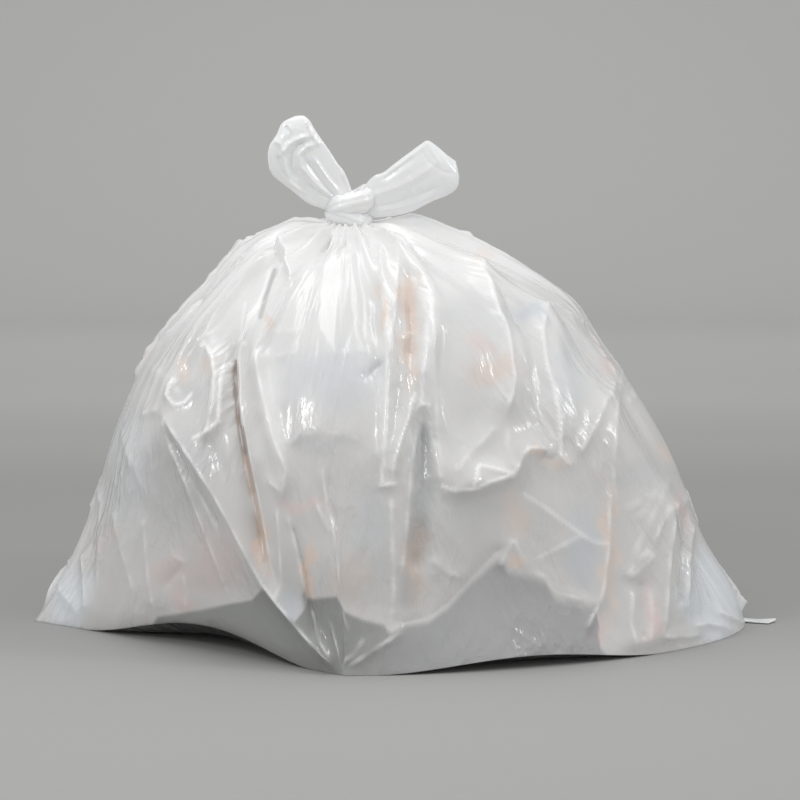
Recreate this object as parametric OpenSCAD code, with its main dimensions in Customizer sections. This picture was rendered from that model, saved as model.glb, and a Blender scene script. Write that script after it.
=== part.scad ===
// A full bin bag of thin white film, tied shut in a knot with two ears.
// The body is a loft: rings of points climb from the bottom edge to the neck.
// Lumps, folds and gathers then push each point of the wall out or in.

/* [Filled bag] */
// Distance between the tips of the two bottom corners
corner_span = 620; // [540:5:700]
// Depth of the filled bag, from front to back
fill_depth = 400; // [330:5:470]
// Height of the neck, where the film enters the knot
neck_height = 332; // [290:2:380]
// Distance of the neck to the left of the middle
neck_shift = 46; // [0:2:80]
// Radius of the neck
neck_radius = 19; // [15:1:24]
// Lift of the bottom edge off the floor, between the places where it touches
edge_lift = 20; // [4:1:30]
// Margin between the bottom edge and the part of the bottom that lies flat
bottom_margin = 34; // [20:1:50]

/* [Gathers and folds] */
// Number of gathers round the neck
gather_count = 16; // [12:2:20]
// Depth of a gather, from crest to trough
gather_depth = 15; // [6:1:22]
// Share of the wall, from the neck down, over which the gathers run out
gather_run = 0.72; // [0.4:0.02:0.9]
// Rise of a full fold line above the film beside it
fold_rise = 11; // [3:1:16]
// Half width of a full fold line
fold_reach = 30; // [20:1:40]
// Rise of a lump where the contents press on the film
lump_rise = 11; // [0:1:16]

/* [Knot] */
// Width of the knot across the front
knot_width = 42; // [36:1:54]
// Height of the knot
knot_rise = 30; // [24:1:38]
// Thickness of the twisted film that wraps round the knot
wrap_thickness = 14; // [11:1:17]

/* [Ears] */
// Length of the left ear, from the knot to its end
left_ear_length = 88; // [70:1:115]
// Length of the right ear, from the knot to its end
right_ear_length = 84; // [70:1:115]
// Width of an ear at its widest
ear_width = 49; // [38:1:62]
// Thickness of an ear where the film stands open
ear_thickness = 15; // [8:1:22]
// Lean of the left ear from upright, in degrees
left_ear_lean = 40; // [20:1:60]
// Lean of the right ear from upright, in degrees
right_ear_lean = 61; // [30:1:70]

/* [Bottom seal] */
// Length of the free end of the seal strip at the right corner
strip_length = 36; // [24:1:48]
// Width of the seal strip below the weld
strip_width = 13; // [8:1:18]
// Thickness of the seal strip, with the film doubled over
strip_thickness = 2.4; // [1.6:0.2:4]
// Turn of the strip towards the front, in degrees
strip_turn = 18; // [0:2:40]

/* [Hidden] */

// A gather's crest always falls on a column of points, and so does each corner of the bottom.
per_gather = round(144 / gather_count);
around = gather_count * per_gather;
levels = 31;
turn = 360 / around;
// Usual distance between two neighbouring points of a ring
cell = PI * (corner_span + fill_depth) / 2 / around;
// Waves in the bearing of the columns: size in degrees, waves in a turn, and start
wander = [[7, 2, 30], [4, 3, 200]];

film = [0.93, 0.94, 0.94];

// The strip's visible end stands past the right corner of the film
strip_showing = strip_length * 0.7;
strip_reach = strip_showing * cos(strip_turn) + strip_width / 2 * sin(strip_turn);
left_tip = corner_span / 2 - neck_shift;
right_tip = corner_span / 2 + neck_shift - strip_reach;
face_tip = fill_depth / 2;

// Each profile runs from the bottom edge to the neck, as seen from the front or the side.
// A point gives the reach from the neck's line, as a share, and the height, as a share.
left_profile = [
    [1.00, 0.00], [0.88, 0.15], [0.795, 0.29], [0.735, 0.44], [0.65, 0.595],
    [0.535, 0.73], [0.385, 0.85], [0.24, 0.955], [0.09, 1.00], [0, 1]
];
right_profile = [
    [1.00, 0.00], [0.97, 0.085], [0.89, 0.215], [0.81, 0.40], [0.72, 0.555],
    [0.61, 0.685], [0.51, 0.81], [0.33, 0.91], [0.155, 0.98], [0.06, 1.00], [0, 1]
];
front_profile = [
    [1.00, 0.00], [0.93, 0.13], [0.90, 0.285], [0.84, 0.44], [0.74, 0.585],
    [0.60, 0.725], [0.42, 0.85], [0.21, 0.95], [0, 1]
];
back_profile = [
    [0.97, 0.00], [0.96, 0.13], [0.95, 0.285], [0.88, 0.46], [0.77, 0.625],
    [0.63, 0.78], [0.45, 0.905], [0.24, 0.985], [0, 1]
];

// How sharply the bottom edge draws in between two neighbouring tips, from 1 for round up:
// right and back, left and back, left and front, right and front.
edge_pull = [1.45, 1.40, 2.05, 1.10];
// Share of the wall over which that draw fades out
pull_run = 0.5;
// Lean of a push on the wall, in degrees from level, at the bottom edge and at the neck
lean_low = 6;
lean_high = 72;

// Sharpness of a gather's crest and of a fold line, from 1 for blunt up
crest_sharpness = 1.8;
fold_sharpness = 1.4;
// Level at which a gather has its full depth, and where the knot begins to squeeze it
gather_full = 0.93;
squeeze_from = 0.85;
// Share of its depth that a gather keeps at the neck
neck_squeeze = 0.45;
// Places where the film lies calm below the gathers: middle angle, half width and share
calm_places = [[258, 24, 0.9], [322, 24, 0.7], [215, 10, 0.4], [150, 16, 0.6]];
// Angle over which a calm place fades out at its sides, and the levels between which it ends
calm_fade = 12;
calm_end = [0.84, 0.94];
// Folds grow in over this share of the wall, and they end between these levels.
foot_run = 0.11;
fold_end = [0.86, 0.94];
// A fold acts on the columns that lie within this many degrees of one of its points.
fold_range = 50;

// Places where the bottom edge lifts: middle angle, half width and share of the lift.
arches = [[214, 36, 1.0], [303, 27, 0.5], [48, 34, 0.6], [131, 38, 0.7]];

// Fold lines: rise, half width, then points. A negative rise is a valley.
// A point gives a bearing, anticlockwise from the right as seen from above, and a level,
// from 0 at the bottom edge to 1 at the neck. The front is at 270.
folds = [
    // From the left shoulder down to the front point of the bottom
    [1.1, 0.8, [[212, 0.44], [226, 0.40], [235, 0.34], [241, 0.24], [245, 0.16], [254, 0.06], [264, 0.00]]],
    // The deep slit left of the middle, and the film that laps over it
    [-1.3, 0.7, [[230, 0.62], [236, 0.53], [243, 0.43], [247, 0.32], [247, 0.20]]],
    [0.9, 0.6, [[237, 0.61], [243, 0.56], [249, 0.49], [254, 0.40], [254, 0.33]]],
    [0.6, 0.6, [[239, 0.77], [239, 0.66], [235, 0.61]]],
    // The two pockets that hang from the left shoulder
    [0.8, 0.6, [[206, 0.82], [210, 0.68], [213, 0.57], [213, 0.48], [221, 0.47]]],
    [0.7, 0.6, [[216, 0.59], [228, 0.54], [234, 0.47], [231, 0.42]]],
    [0.4, 0.8, [[190, 0.86], [198, 0.70], [191, 0.53]]],
    // The hollow under the knot
    [0.4, 0.7, [[214, 0.83], [238, 0.80], [258, 0.82], [282, 0.87]]],
    // Two pleats right of the middle, with a valley between them and one below
    [0.9, 0.6, [[296, 0.82], [284, 0.69], [280, 0.58], [278, 0.44], [277, 0.36]]],
    [-0.9, 0.6, [[305, 0.77], [297, 0.72], [291, 0.67], [285, 0.58]]],
    [1.1, 0.6, [[326, 0.88], [318, 0.82], [307, 0.76], [299, 0.68], [290, 0.60], [287, 0.51]]],
    [-0.9, 0.6, [[287, 0.48], [284, 0.37], [281, 0.20]]],
    // The crinkled ridge of the right shoulder, which ends in a shelf, and the ridge beside it
    [0.9, 0.7, [[342, 0.72], [326, 0.67], [317, 0.61], [311, 0.53], [301, 0.44]]],
    [1.0, 0.6, [[287, 0.36], [298, 0.35], [304, 0.39], [313, 0.38]]],
    [0.9, 0.7, [[339, 0.62], [326, 0.56], [320, 0.48], [313, 0.38]]],
    [0.5, 0.8, [[350, 0.50], [336, 0.45], [323, 0.36]]],
    // The right corner
    [-0.5, 1.0, [[321, 0.33], [316, 0.20], [311, 0.05]]],
    [0.6, 1.0, [[340, 0.29], [326, 0.17], [317, 0.02]]],
    [-0.4, 0.8, [[354, 0.24], [339, 0.17], [330, 0.04]]],
    // Where the contents end and the film runs on to the floor
    [-0.4, 1.1, [[222, 0.09], [240, 0.14], [270, 0.15], [284, 0.13], [300, 0.21]]],
    // The right side and the right half of the back
    [0.5, 0.9, [[8, 0.80], [3, 0.62], [8, 0.44], [14, 0.24]]],
    [-0.6, 0.8, [[20, 0.80], [26, 0.62], [32, 0.42], [30, 0.22]]],
    [0.7, 0.9, [[38, 0.84], [44, 0.66], [48, 0.46], [56, 0.26], [66, 0.04]]],
    [0.5, 0.7, [[48, 0.46], [58, 0.40], [70, 0.43]]],
    [-0.7, 0.8, [[58, 0.82], [62, 0.66], [60, 0.54]]],
    [0.6, 0.8, [[72, 0.86], [76, 0.68], [72, 0.52], [78, 0.32]]],
    [-0.4, 0.6, [[80, 0.88], [81, 0.60], [83, 0.42]]],
    // The left half of the back and the left side
    [-0.4, 0.9, [[92, 0.60], [93, 0.40], [91, 0.26]]],
    [0.5, 0.5, [[87, 0.40], [89, 0.25], [93, 0.08]]],
    [0.6, 0.9, [[106, 0.86], [110, 0.66], [107, 0.48], [99, 0.32]]],
    [-0.5, 0.5, [[100, 0.88], [101, 0.62], [103, 0.44]]],
    [-0.5, 0.8, [[126, 0.62], [119, 0.46], [116, 0.34]]],
    [0.7, 1.0, [[150, 0.56], [138, 0.42], [124, 0.26], [106, 0.08], [96, 0.00]]],
    [0.5, 0.8, [[146, 0.84], [142, 0.70], [146, 0.60]]],
    [0.5, 0.6, [[164, 0.82], [166, 0.59], [170, 0.40]]],
    [-0.4, 0.9, [[168, 0.40], [158, 0.28], [150, 0.08]]],
    [0.3, 0.8, [[176, 0.82], [179, 0.62], [174, 0.42]]]
];

// Lumps where the contents press on the film, and hollows: rise, half width as a share of
// the depth, then bearing and level.
lumps = [
    [0.9, 0.26, [[264, 0.50]]], [-0.8, 0.13, [[244, 0.87]]], [1.0, 0.22, [[303, 0.62]]],
    [0.8, 0.20, [[326, 0.44]]], [-0.7, 0.18, [[292, 0.20]]], [0.3, 0.18, [[207, 0.60]]],
    [-0.6, 0.16, [[222, 0.24]]], [0.8, 0.18, [[262, 0.20]]], [0.8, 0.18, [[330, 0.22]]],
    [0.8, 0.22, [[20, 0.52]]], [-0.6, 0.18, [[44, 0.24]]], [0.9, 0.24, [[66, 0.56]]],
    [0.8, 0.22, [[116, 0.54]]], [-0.7, 0.18, [[92, 0.24]]], [0.9, 0.20, [[140, 0.34]]],
    [0.7, 0.18, [[96, 0.76]]], [0.3, 0.18, [[168, 0.46]]]
];

// Turns of film in the knot: height as a share of the knot's, tilt, size as a share, and pieces.
knot_turns = [[0.50, [10, -28, 0], 1, 9], [0.22, [-8, 14, 0], 0.9, 8]];
// Depth of the knot from front to back, as a share of its width
knot_depth = 0.85;
// Middle and height of the knot's core, as shares of the knot's height. It reaches into the neck.
core_middle = 0.28;
core_height = 1.2;

// Reach of an ear's two edges from its middle line, from the knot to the end, as shares of
// half its width: first the lower edge, then the upper one. The end is cut off at a slant.
left_ear_plan = [
    [0.50, 0.45], [0.80, 0.58], [0.98, 0.67], [1.08, 0.80], [1.14, 0.87], [0.90, 0.97], [-0.20, 0.55]
];
right_ear_plan = [
    [0.80, 0.55], [0.90, 0.69], [0.96, 0.66], [0.98, 0.74], [1.00, 0.86], [1.06, 0.92], [0.35, 0.00]
];
// Thickness along an ear, as a share.
ear_puff = [0.90, 0.80, 0.90, 1.00, 0.95, 0.70, 0.22];
// Height of the soft folds on an ear, as a share of its thickness, and their spread in degrees
ear_ripple = 0.16;
ear_ripple_spread = 230;
// Where those folds start across each ear, in degrees
ear_ripple_starts = [40, 200];
// Tilt of an ear out of the knot's plane, and its turn about the upright, in degrees
ear_tilt = 3;
ear_turn = 8;
// Place of each ear beside the middle of the knot, as a share of its width, and its height
ear_roots = [-0.10, 0.32];
ear_root_height = 0.6;
ear_around = 20;
ear_levels = 10;

function mix(a, b, f) = a + (b - a) * f;
function clamp(v, low, high) = max(low, min(high, v));
function smooth(f) = let (g = clamp(f, 0, 1)) g * g * (3 - 2 * g);
function shift(points, by) = [for (p = points) p + by];

// A smooth curve through a list of values, at f from 0 to 1.
function along(values, f) =
    let (
        last = len(values) - 1,
        at = clamp(f, 0, 0.999999) * last,
        i = floor(at),
        g = at - i,
        a = values[max(i - 1, 0)],
        b = values[i],
        c = values[i + 1],
        d = values[min(i + 2, last)]
    )
    0.5 * (2 * b + (c - a) * g + (2 * a - 5 * b + 4 * c - d) * g * g
        + (3 * b - a - 3 * c + d) * g * g * g);

// The way from a point to the nearest point of a line of points.
function way_to_piece(p, a, b) =
    let (run = b - a, f = clamp((p - a) * run / (run * run), 0, 1))
    a + run * f - p;
function shortest(ways) =
    let (lengths = [for (way = ways) norm(way)])
    ways[search(min(lengths), lengths)[0]];
function way_to_line(p, line) =
    len(line) == 1 ? line[0] - p
        : shortest([for (i = [0 : len(line) - 2]) way_to_piece(p, line[i], line[i + 1])]);
// The same, in cells of the wall. The bearing is first taken to the line's own turn.
function in_cells(at) = [at[0] / turn, at[1] * levels];
function way_in_cells(at, line) =
    let (turns = round((line[0][0] - in_cells(at)[0]) / around))
    way_to_line(in_cells(at) + [turns * around, 0], line);
// The rows of a list that come within reach of column i, with their lines in cells.
function beside(i, rows) = [
    for (row = rows)
        if (min([for (q = row[2]) abs((q[0] - i * turn + 540) % 360 - 180)]) < fold_range)
            [row[0], row[1], [for (q = row[2]) in_cells(q)]]
];

// Height of the bottom edge at an angle, and the draw of its outline there.
function arch(a, at) =
    let (off = abs(a - at[0]))
    off < at[1] ? at[2] * pow(cos(90 * off / at[1]), 2) : 0;
function edge_height(a) = edge_lift * max([for (at = arches) arch(a, at)]);
function pull(a, t) = 1 + (edge_pull[floor(a / 90) % 4] - 1) * pow(1 - min(t / pull_run, 1), 2);

// The smooth wall, at angle a round the neck's line and at level t.
function smooth_wall(a, t) =
    let (
        c = cos(a),
        s = sin(a),
        side = along(c < 0 ? left_profile : right_profile, t),
        face = along(s < 0 ? front_profile : back_profile, t),
        side_reach = neck_radius + side[0] * ((c < 0 ? left_tip : right_tip) - neck_radius),
        face_reach = neck_radius + face[0] * (face_tip - neck_radius),
        power = pull(a, t),
        rise = mix(side[1], face[1], s * s) * neck_height
    )
    [
        sign(c) * pow(abs(c), power) * side_reach - neck_shift,
        sign(s) * pow(abs(s), power) * face_reach,
        rise + edge_height(a) * pow(1 - t, 6)
    ];

// The way out of the wall, which leans up towards the neck.
function outward(a, t) =
    let (lean = mix(lean_low, lean_high, t * t))
    [cos(a) * cos(lean), sin(a) * cos(lean), sin(lean)];

// How far a fold or a lump pushes the wall out, at a way of so many cells from it.
function fold_push(way, fold) =
    let (gap = norm(way) * cell / (fold_reach * fold[1]))
    gap < 1 ? fold[0] * pow(1 - gap, fold_sharpness) : 0;
function lump_push(way, lump) =
    let (gap = norm(way) * cell / (fill_depth * lump[1]))
    gap < 1 ? lump[0] * pow(cos(90 * gap), 2) : 0;
function sum(values) = values * [for (v = values) 1];

// A point close to a fold line moves onto it, so that the crease runs clean.
function onto_fold(ways) =
    let (way = shortest(ways), hold = 1 - smooth(norm(way) * 2 - 1))
    [way[0] * turn, way[1] / levels] * hold;

// The bearing of column i, which wanders between the bottom edge and the neck.
function bearing(i, t) =
    let (a = i * turn)
    a + smooth(t * 2.5) * sum([for (wave = wander) wave[0] * sin(wave[1] * a + wave[2])]);

// How calm the film lies, from 0 to 1.
function calm_at(a, place) =
    let (off = abs((a - place[0] + 540) % 360 - 180))
    place[2] * (1 - smooth((off - place[1]) / calm_fade));
function calm(a, t) =
    max([for (place = calm_places) calm_at(a, place)])
        * (1 - smooth((t - calm_end[0]) / (calm_end[1] - calm_end[0])));

// Gathers fan out from the neck. Their crests are narrow, and some run further down.
function gather_push(i, a, t) =
    let (
        crest = pow(0.5 + 0.5 * cos(i * 360 / per_gather), crest_sharpness) - 0.38,
        size = 0.75 + 0.25 * sin(5 * a + 70),
        from = 1 - gather_run * (0.8 + 0.2 * sin(4 * a)),
        grow = smooth((t - from) / (gather_full - from)),
        shrink = mix(1, neck_squeeze, smooth((t - squeeze_from) / (1 - squeeze_from)))
    )
    gather_depth * crest * size * grow * shrink * (1 - calm(a, t));

function wall_point(i, level, near_folds, near_lumps) =
    let (
        free = smooth(level / foot_run) * smooth((fold_end[1] - level) / (fold_end[1] - fold_end[0])),
        start = [bearing(i, level), level],
        at = start + onto_fold([for (fold = near_folds) way_in_cells(start, fold[2])]) * free,
        fold_sum = sum([for (fold = near_folds) fold_push(way_in_cells(at, fold[2]), fold)]),
        lump_sum = sum([for (lump = near_lumps) lump_push(way_in_cells(at, lump[2]), lump)]),
        out = (fold_rise * fold_sum + lump_rise * lump_sum) * free + gather_push(i, at[0], at[1])
    )
    smooth_wall(at[0], at[1]) + outward(at[0], at[1]) * out;
// One column of the wall, from the bottom edge to the neck.
function wall_column(i) =
    let (near_folds = beside(i, folds), near_lumps = beside(i, lumps))
    [for (j = [0 : levels]) wall_point(i, j / levels, near_folds, near_lumps)];

// The outline of the part that lies flat on the floor.
function floor_point(a) =
    let (
        p = smooth_wall(a, 0),
        arm = [p[0] + neck_shift, p[1], 0]
    )
    arm * max(0.1, 1 - bottom_margin / norm(arm)) - [neck_shift, 0, 0];

columns = [for (i = [0 : around - 1]) wall_column(i)];
wall_rings = [for (j = [0 : levels]) [for (column = columns) column[j]]];
// The film is set so that the front and the back stand equally far from the origin.
wall_y = [for (ring = wall_rings) for (p = ring) p[1]];
centring = [0, -(min(wall_y) + max(wall_y)) / 2, 0];
neck_place = [-neck_shift, centring[1], neck_height];

// Faces between rings of n points that start at point number first. Each four-sided gap is
// split along its shorter diagonal.
function ring_faces(points, first, rings, n) = [
    for (j = [0 : rings - 2]) for (i = [0 : n - 1])
        let (
            a = first + j * n + i,
            b = first + j * n + (i + 1) % n,
            c = a + n,
            d = b + n,
            split = norm(points[a] - points[d]) < norm(points[b] - points[c])
        )
        each split ? [[a, c, d], [a, d, b]] : [[a, c, b], [b, c, d]]
];
// Faces from a ring to one point, below it or above it.
function fan_down(centre, first, n) = [for (i = [0 : n - 1]) [centre, first + i, first + (i + 1) % n]];
function fan_up(centre, first, n) = [for (i = [0 : n - 1]) [centre, first + (i + 1) % n, first + i]];

// A closed skin over a stack of rings, with a middle point at each end.
module skin(low, rings, high) {
    n = len(rings[0]);
    points = concat([low], [for (ring = rings) each ring], [high]);
    last = 1 + (len(rings) - 1) * n;
    polyhedron(points, concat(
        fan_down(0, 1, n),
        ring_faces(points, 1, len(rings), n),
        fan_up(len(points) - 1, last, n)
    ));
}

module body() {
    floor_ring = [for (i = [0 : around - 1]) floor_point(i * turn)];
    rings = [for (ring = concat([floor_ring], wall_rings)) shift(ring, centring)];
    skin([-neck_shift, centring[1], 0], rings, neck_place);
}

// An ear of flattened film. Soft folds cross its face and run to the knot.
module ear(length, plan, folds_at) {
    function ear_point(f, a) =
        let (
            edges = along(plan, f) * ear_width / 2,
            puff = along(ear_puff, f) * ear_thickness / 2,
            ripple = ear_ripple * ear_thickness * f * sin(ear_ripple_spread * cos(a) + folds_at)
        )
        [mix(-edges[0], edges[1], (1 + cos(a)) / 2), ripple + puff * sin(a), f * length];
    rings = [
        for (j = [0 : ear_levels])
            [for (i = [0 : ear_around - 1]) ear_point(j / ear_levels, i * 360 / ear_around)]
    ];
    end = rings[ear_levels];
    skin([0, 0, 0], rings, (end[0] + end[ear_around / 2]) / 2);
}

// A turn of twisted film round the knot, as a chain of short rounded pieces.
module wrap(width, depth, thickness, pieces) {
    function place(k) = let (a = k * 360 / pieces) [width / 2 * cos(a), depth / 2 * sin(a), 0];
    function fat(k) = thickness * (0.46 + 0.06 * sin(k * 95));
    for (k = [0 : pieces - 1])
        hull() {
            translate(place(k)) sphere(r = fat(k), $fn = 8);
            translate(place(k + 1)) sphere(r = fat(k + 1), $fn = 8);
        }
}

// The knot stands on the neck. One turn rises across its front, and one closes it below.
module knot() {
    inner = knot_width - wrap_thickness;
    for (t = knot_turns)
        translate([0, 0, knot_rise * t[0]]) rotate(t[1])
            wrap(inner * t[2], inner * t[2] * knot_depth, wrap_thickness * t[2], t[3]);
    translate([0, 0, knot_rise * core_middle])
        scale([inner, inner * knot_depth, knot_rise * core_height] / 2) sphere(r = 1, $fn = 16);
}

module ears() {
    translate([ear_roots[0] * knot_width, 0, 0]) rotate([ear_tilt, -left_ear_lean, ear_turn])
        ear(left_ear_length, left_ear_plan, ear_ripple_starts[0]);
    translate([ear_roots[1] * knot_width, 0, 0]) rotate([-ear_tilt, right_ear_lean, -ear_turn])
        mirror([1, 0, 0]) ear(right_ear_length, right_ear_plan, ear_ripple_starts[1]);
}

// The free end of the strip below the bottom weld, past the right corner.
module strip_end() {
    translate([right_tip - neck_shift, centring[1], 0]) rotate([0, 0, -strip_turn])
        translate([strip_showing - strip_length, -strip_width / 2, 0])
            cube([strip_length, strip_width, strip_thickness]);
}

module bag() {
    color(film) union() {
        body();
        translate(neck_place) {
            knot();
            translate([0, 0, knot_rise * ear_root_height]) ears();
        }
        strip_end();
    }
}

bag();
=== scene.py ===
"""A full, tied bin bag of milky white film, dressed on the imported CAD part.

The body of the bag is one fine grid of points. A column of the grid is a bearing round the
neck, in degrees, and a row is a level, from 0 at the bottom edge to 1 at the neck, as in the
CAD source. The grid is also a flat film, on which every point has its place. A crease is a
line on that film. The creases of the front are given in the front view, where the camera
sees them. The film between the creases is drawn tight.
Sizes are in metres. Rises and widths of creases, and places in the front view, are in
millimetres.
"""
import math

import bpy
import numpy as np
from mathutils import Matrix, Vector
from mathutils.geometry import delaunay_2d_cdt


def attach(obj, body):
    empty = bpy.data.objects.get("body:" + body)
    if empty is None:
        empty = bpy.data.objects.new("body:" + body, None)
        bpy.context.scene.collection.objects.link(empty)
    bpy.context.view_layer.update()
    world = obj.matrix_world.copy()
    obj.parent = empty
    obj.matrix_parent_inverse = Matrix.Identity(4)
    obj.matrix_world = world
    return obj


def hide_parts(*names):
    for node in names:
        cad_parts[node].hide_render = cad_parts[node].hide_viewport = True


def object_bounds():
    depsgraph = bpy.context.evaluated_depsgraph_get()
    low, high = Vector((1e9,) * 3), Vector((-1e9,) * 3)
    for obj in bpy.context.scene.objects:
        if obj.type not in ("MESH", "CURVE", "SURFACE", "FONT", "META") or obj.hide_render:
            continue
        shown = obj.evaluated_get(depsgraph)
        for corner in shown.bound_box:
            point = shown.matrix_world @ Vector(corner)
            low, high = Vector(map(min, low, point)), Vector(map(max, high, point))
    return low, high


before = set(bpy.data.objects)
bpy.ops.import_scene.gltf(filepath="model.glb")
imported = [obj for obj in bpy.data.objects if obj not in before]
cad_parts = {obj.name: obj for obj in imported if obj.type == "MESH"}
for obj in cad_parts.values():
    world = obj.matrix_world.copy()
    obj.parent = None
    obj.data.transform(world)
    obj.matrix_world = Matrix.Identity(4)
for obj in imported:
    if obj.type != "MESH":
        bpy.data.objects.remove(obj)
cad_low, cad_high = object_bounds()

MM = 0.001

# Main sizes, the same as in the CAD source
SPAN = cad_high.x - cad_low.x
FILL_DEPTH = 0.400
NECK_HEIGHT = 0.332
NECK_SHIFT = 0.046
NECK_RADIUS = 0.019
EDGE_LIFT = 0.020
BOTTOM_MARGIN = 0.034
STRIP_LENGTH = 0.036
STRIP_WIDTH = 0.013
STRIP_TURN = math.radians(18)
STRIP_SHOWING = 0.7 * STRIP_LENGTH
STRIP_REACH = STRIP_SHOWING * math.cos(STRIP_TURN) + STRIP_WIDTH / 2 * math.sin(STRIP_TURN)
LEFT_TIP = SPAN / 2 - NECK_SHIFT
RIGHT_TIP = SPAN / 2 + NECK_SHIFT - STRIP_REACH
FACE_TIP = FILL_DEPTH / 2

# The same profiles as in the CAD source: share of the reach, share of the height
LEFT_PROFILE = [
    (1.00, 0.00), (0.88, 0.15), (0.795, 0.29), (0.735, 0.44), (0.65, 0.595),
    (0.535, 0.73), (0.385, 0.85), (0.24, 0.955), (0.09, 1.00), (0, 1),
]
RIGHT_PROFILE = [
    (1.00, 0.00), (0.97, 0.085), (0.89, 0.215), (0.81, 0.40), (0.72, 0.555),
    (0.61, 0.685), (0.51, 0.81), (0.33, 0.91), (0.155, 0.98), (0.06, 1.00), (0, 1),
]
FRONT_PROFILE = [
    (1.00, 0.00), (0.93, 0.13), (0.90, 0.285), (0.84, 0.44), (0.74, 0.585),
    (0.60, 0.725), (0.42, 0.85), (0.21, 0.95), (0, 1),
]
BACK_PROFILE = [
    (0.97, 0.00), (0.96, 0.13), (0.95, 0.285), (0.88, 0.46), (0.77, 0.625),
    (0.63, 0.78), (0.45, 0.905), (0.24, 0.985), (0, 1),
]
# How strongly the bottom edge is drawn out to the corners in each quarter, from the right half
# of the back on, and the level by which that has run out
EDGE_PULL = np.array([1.45, 1.40, 2.05, 1.10])
PULL_RUN = 0.5
# Arches of the bottom edge: middle bearing, half width in degrees and share of the full lift
ARCHES = [(228, 24, 1.0), (298, 24, 0.5), (48, 34, 0.6), (131, 38, 0.7)]
ARCH_FADE = 6
# Waves by which the columns wander: degrees, waves round the bag and start in degrees
WANDER = [(7, 2, 30), (4, 3, 200)]
WANDER_RUN = 0.4
# How far the film's outward direction leans up, in degrees, at the bottom edge and at the neck
LEAN_LOW = 6
LEAN_HIGH = 72

# A step of the CAD source's grid: degrees of bearing, level and metres on the film
CELL_BEARING = 2.5
CELL_LEVEL = 1 / 31
CELL = 0.0111
# The film's length once round the bag, and a little more than its height
TURN = 360 / CELL_BEARING * CELL
FILM_HEIGHT = 0.40
# Columns of the fine grid, and the steps between its rows
COLUMNS = 760
ROWS = 240

CAMERA_AWAY = 2.2
CAMERA_HIGH = math.radians(12)
SENSOR_WIDTH = 36
FRAME_PIXELS = 800
# In the photograph: the width of the bag, and the place of the middle of its foot
BAG_PIXELS = 740
BAG_WIDTH = 0.620
FOOT_PIXEL = (405, 622)
FOCAL_PIXELS = BAG_PIXELS / BAG_WIDTH * CAMERA_AWAY

# Bearings between which the film faces the camera
FRONT_FROM = 184
FRONT_TO = 356
# Greatest step along a line in the front view
LINE_STEP = 14
# Film that is seen more nearly edge-on than this is placed in one direction only
EDGE_ON = 1e-3
# A turn so long that nothing lies beyond it
NO_TURN = 1e9

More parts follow.
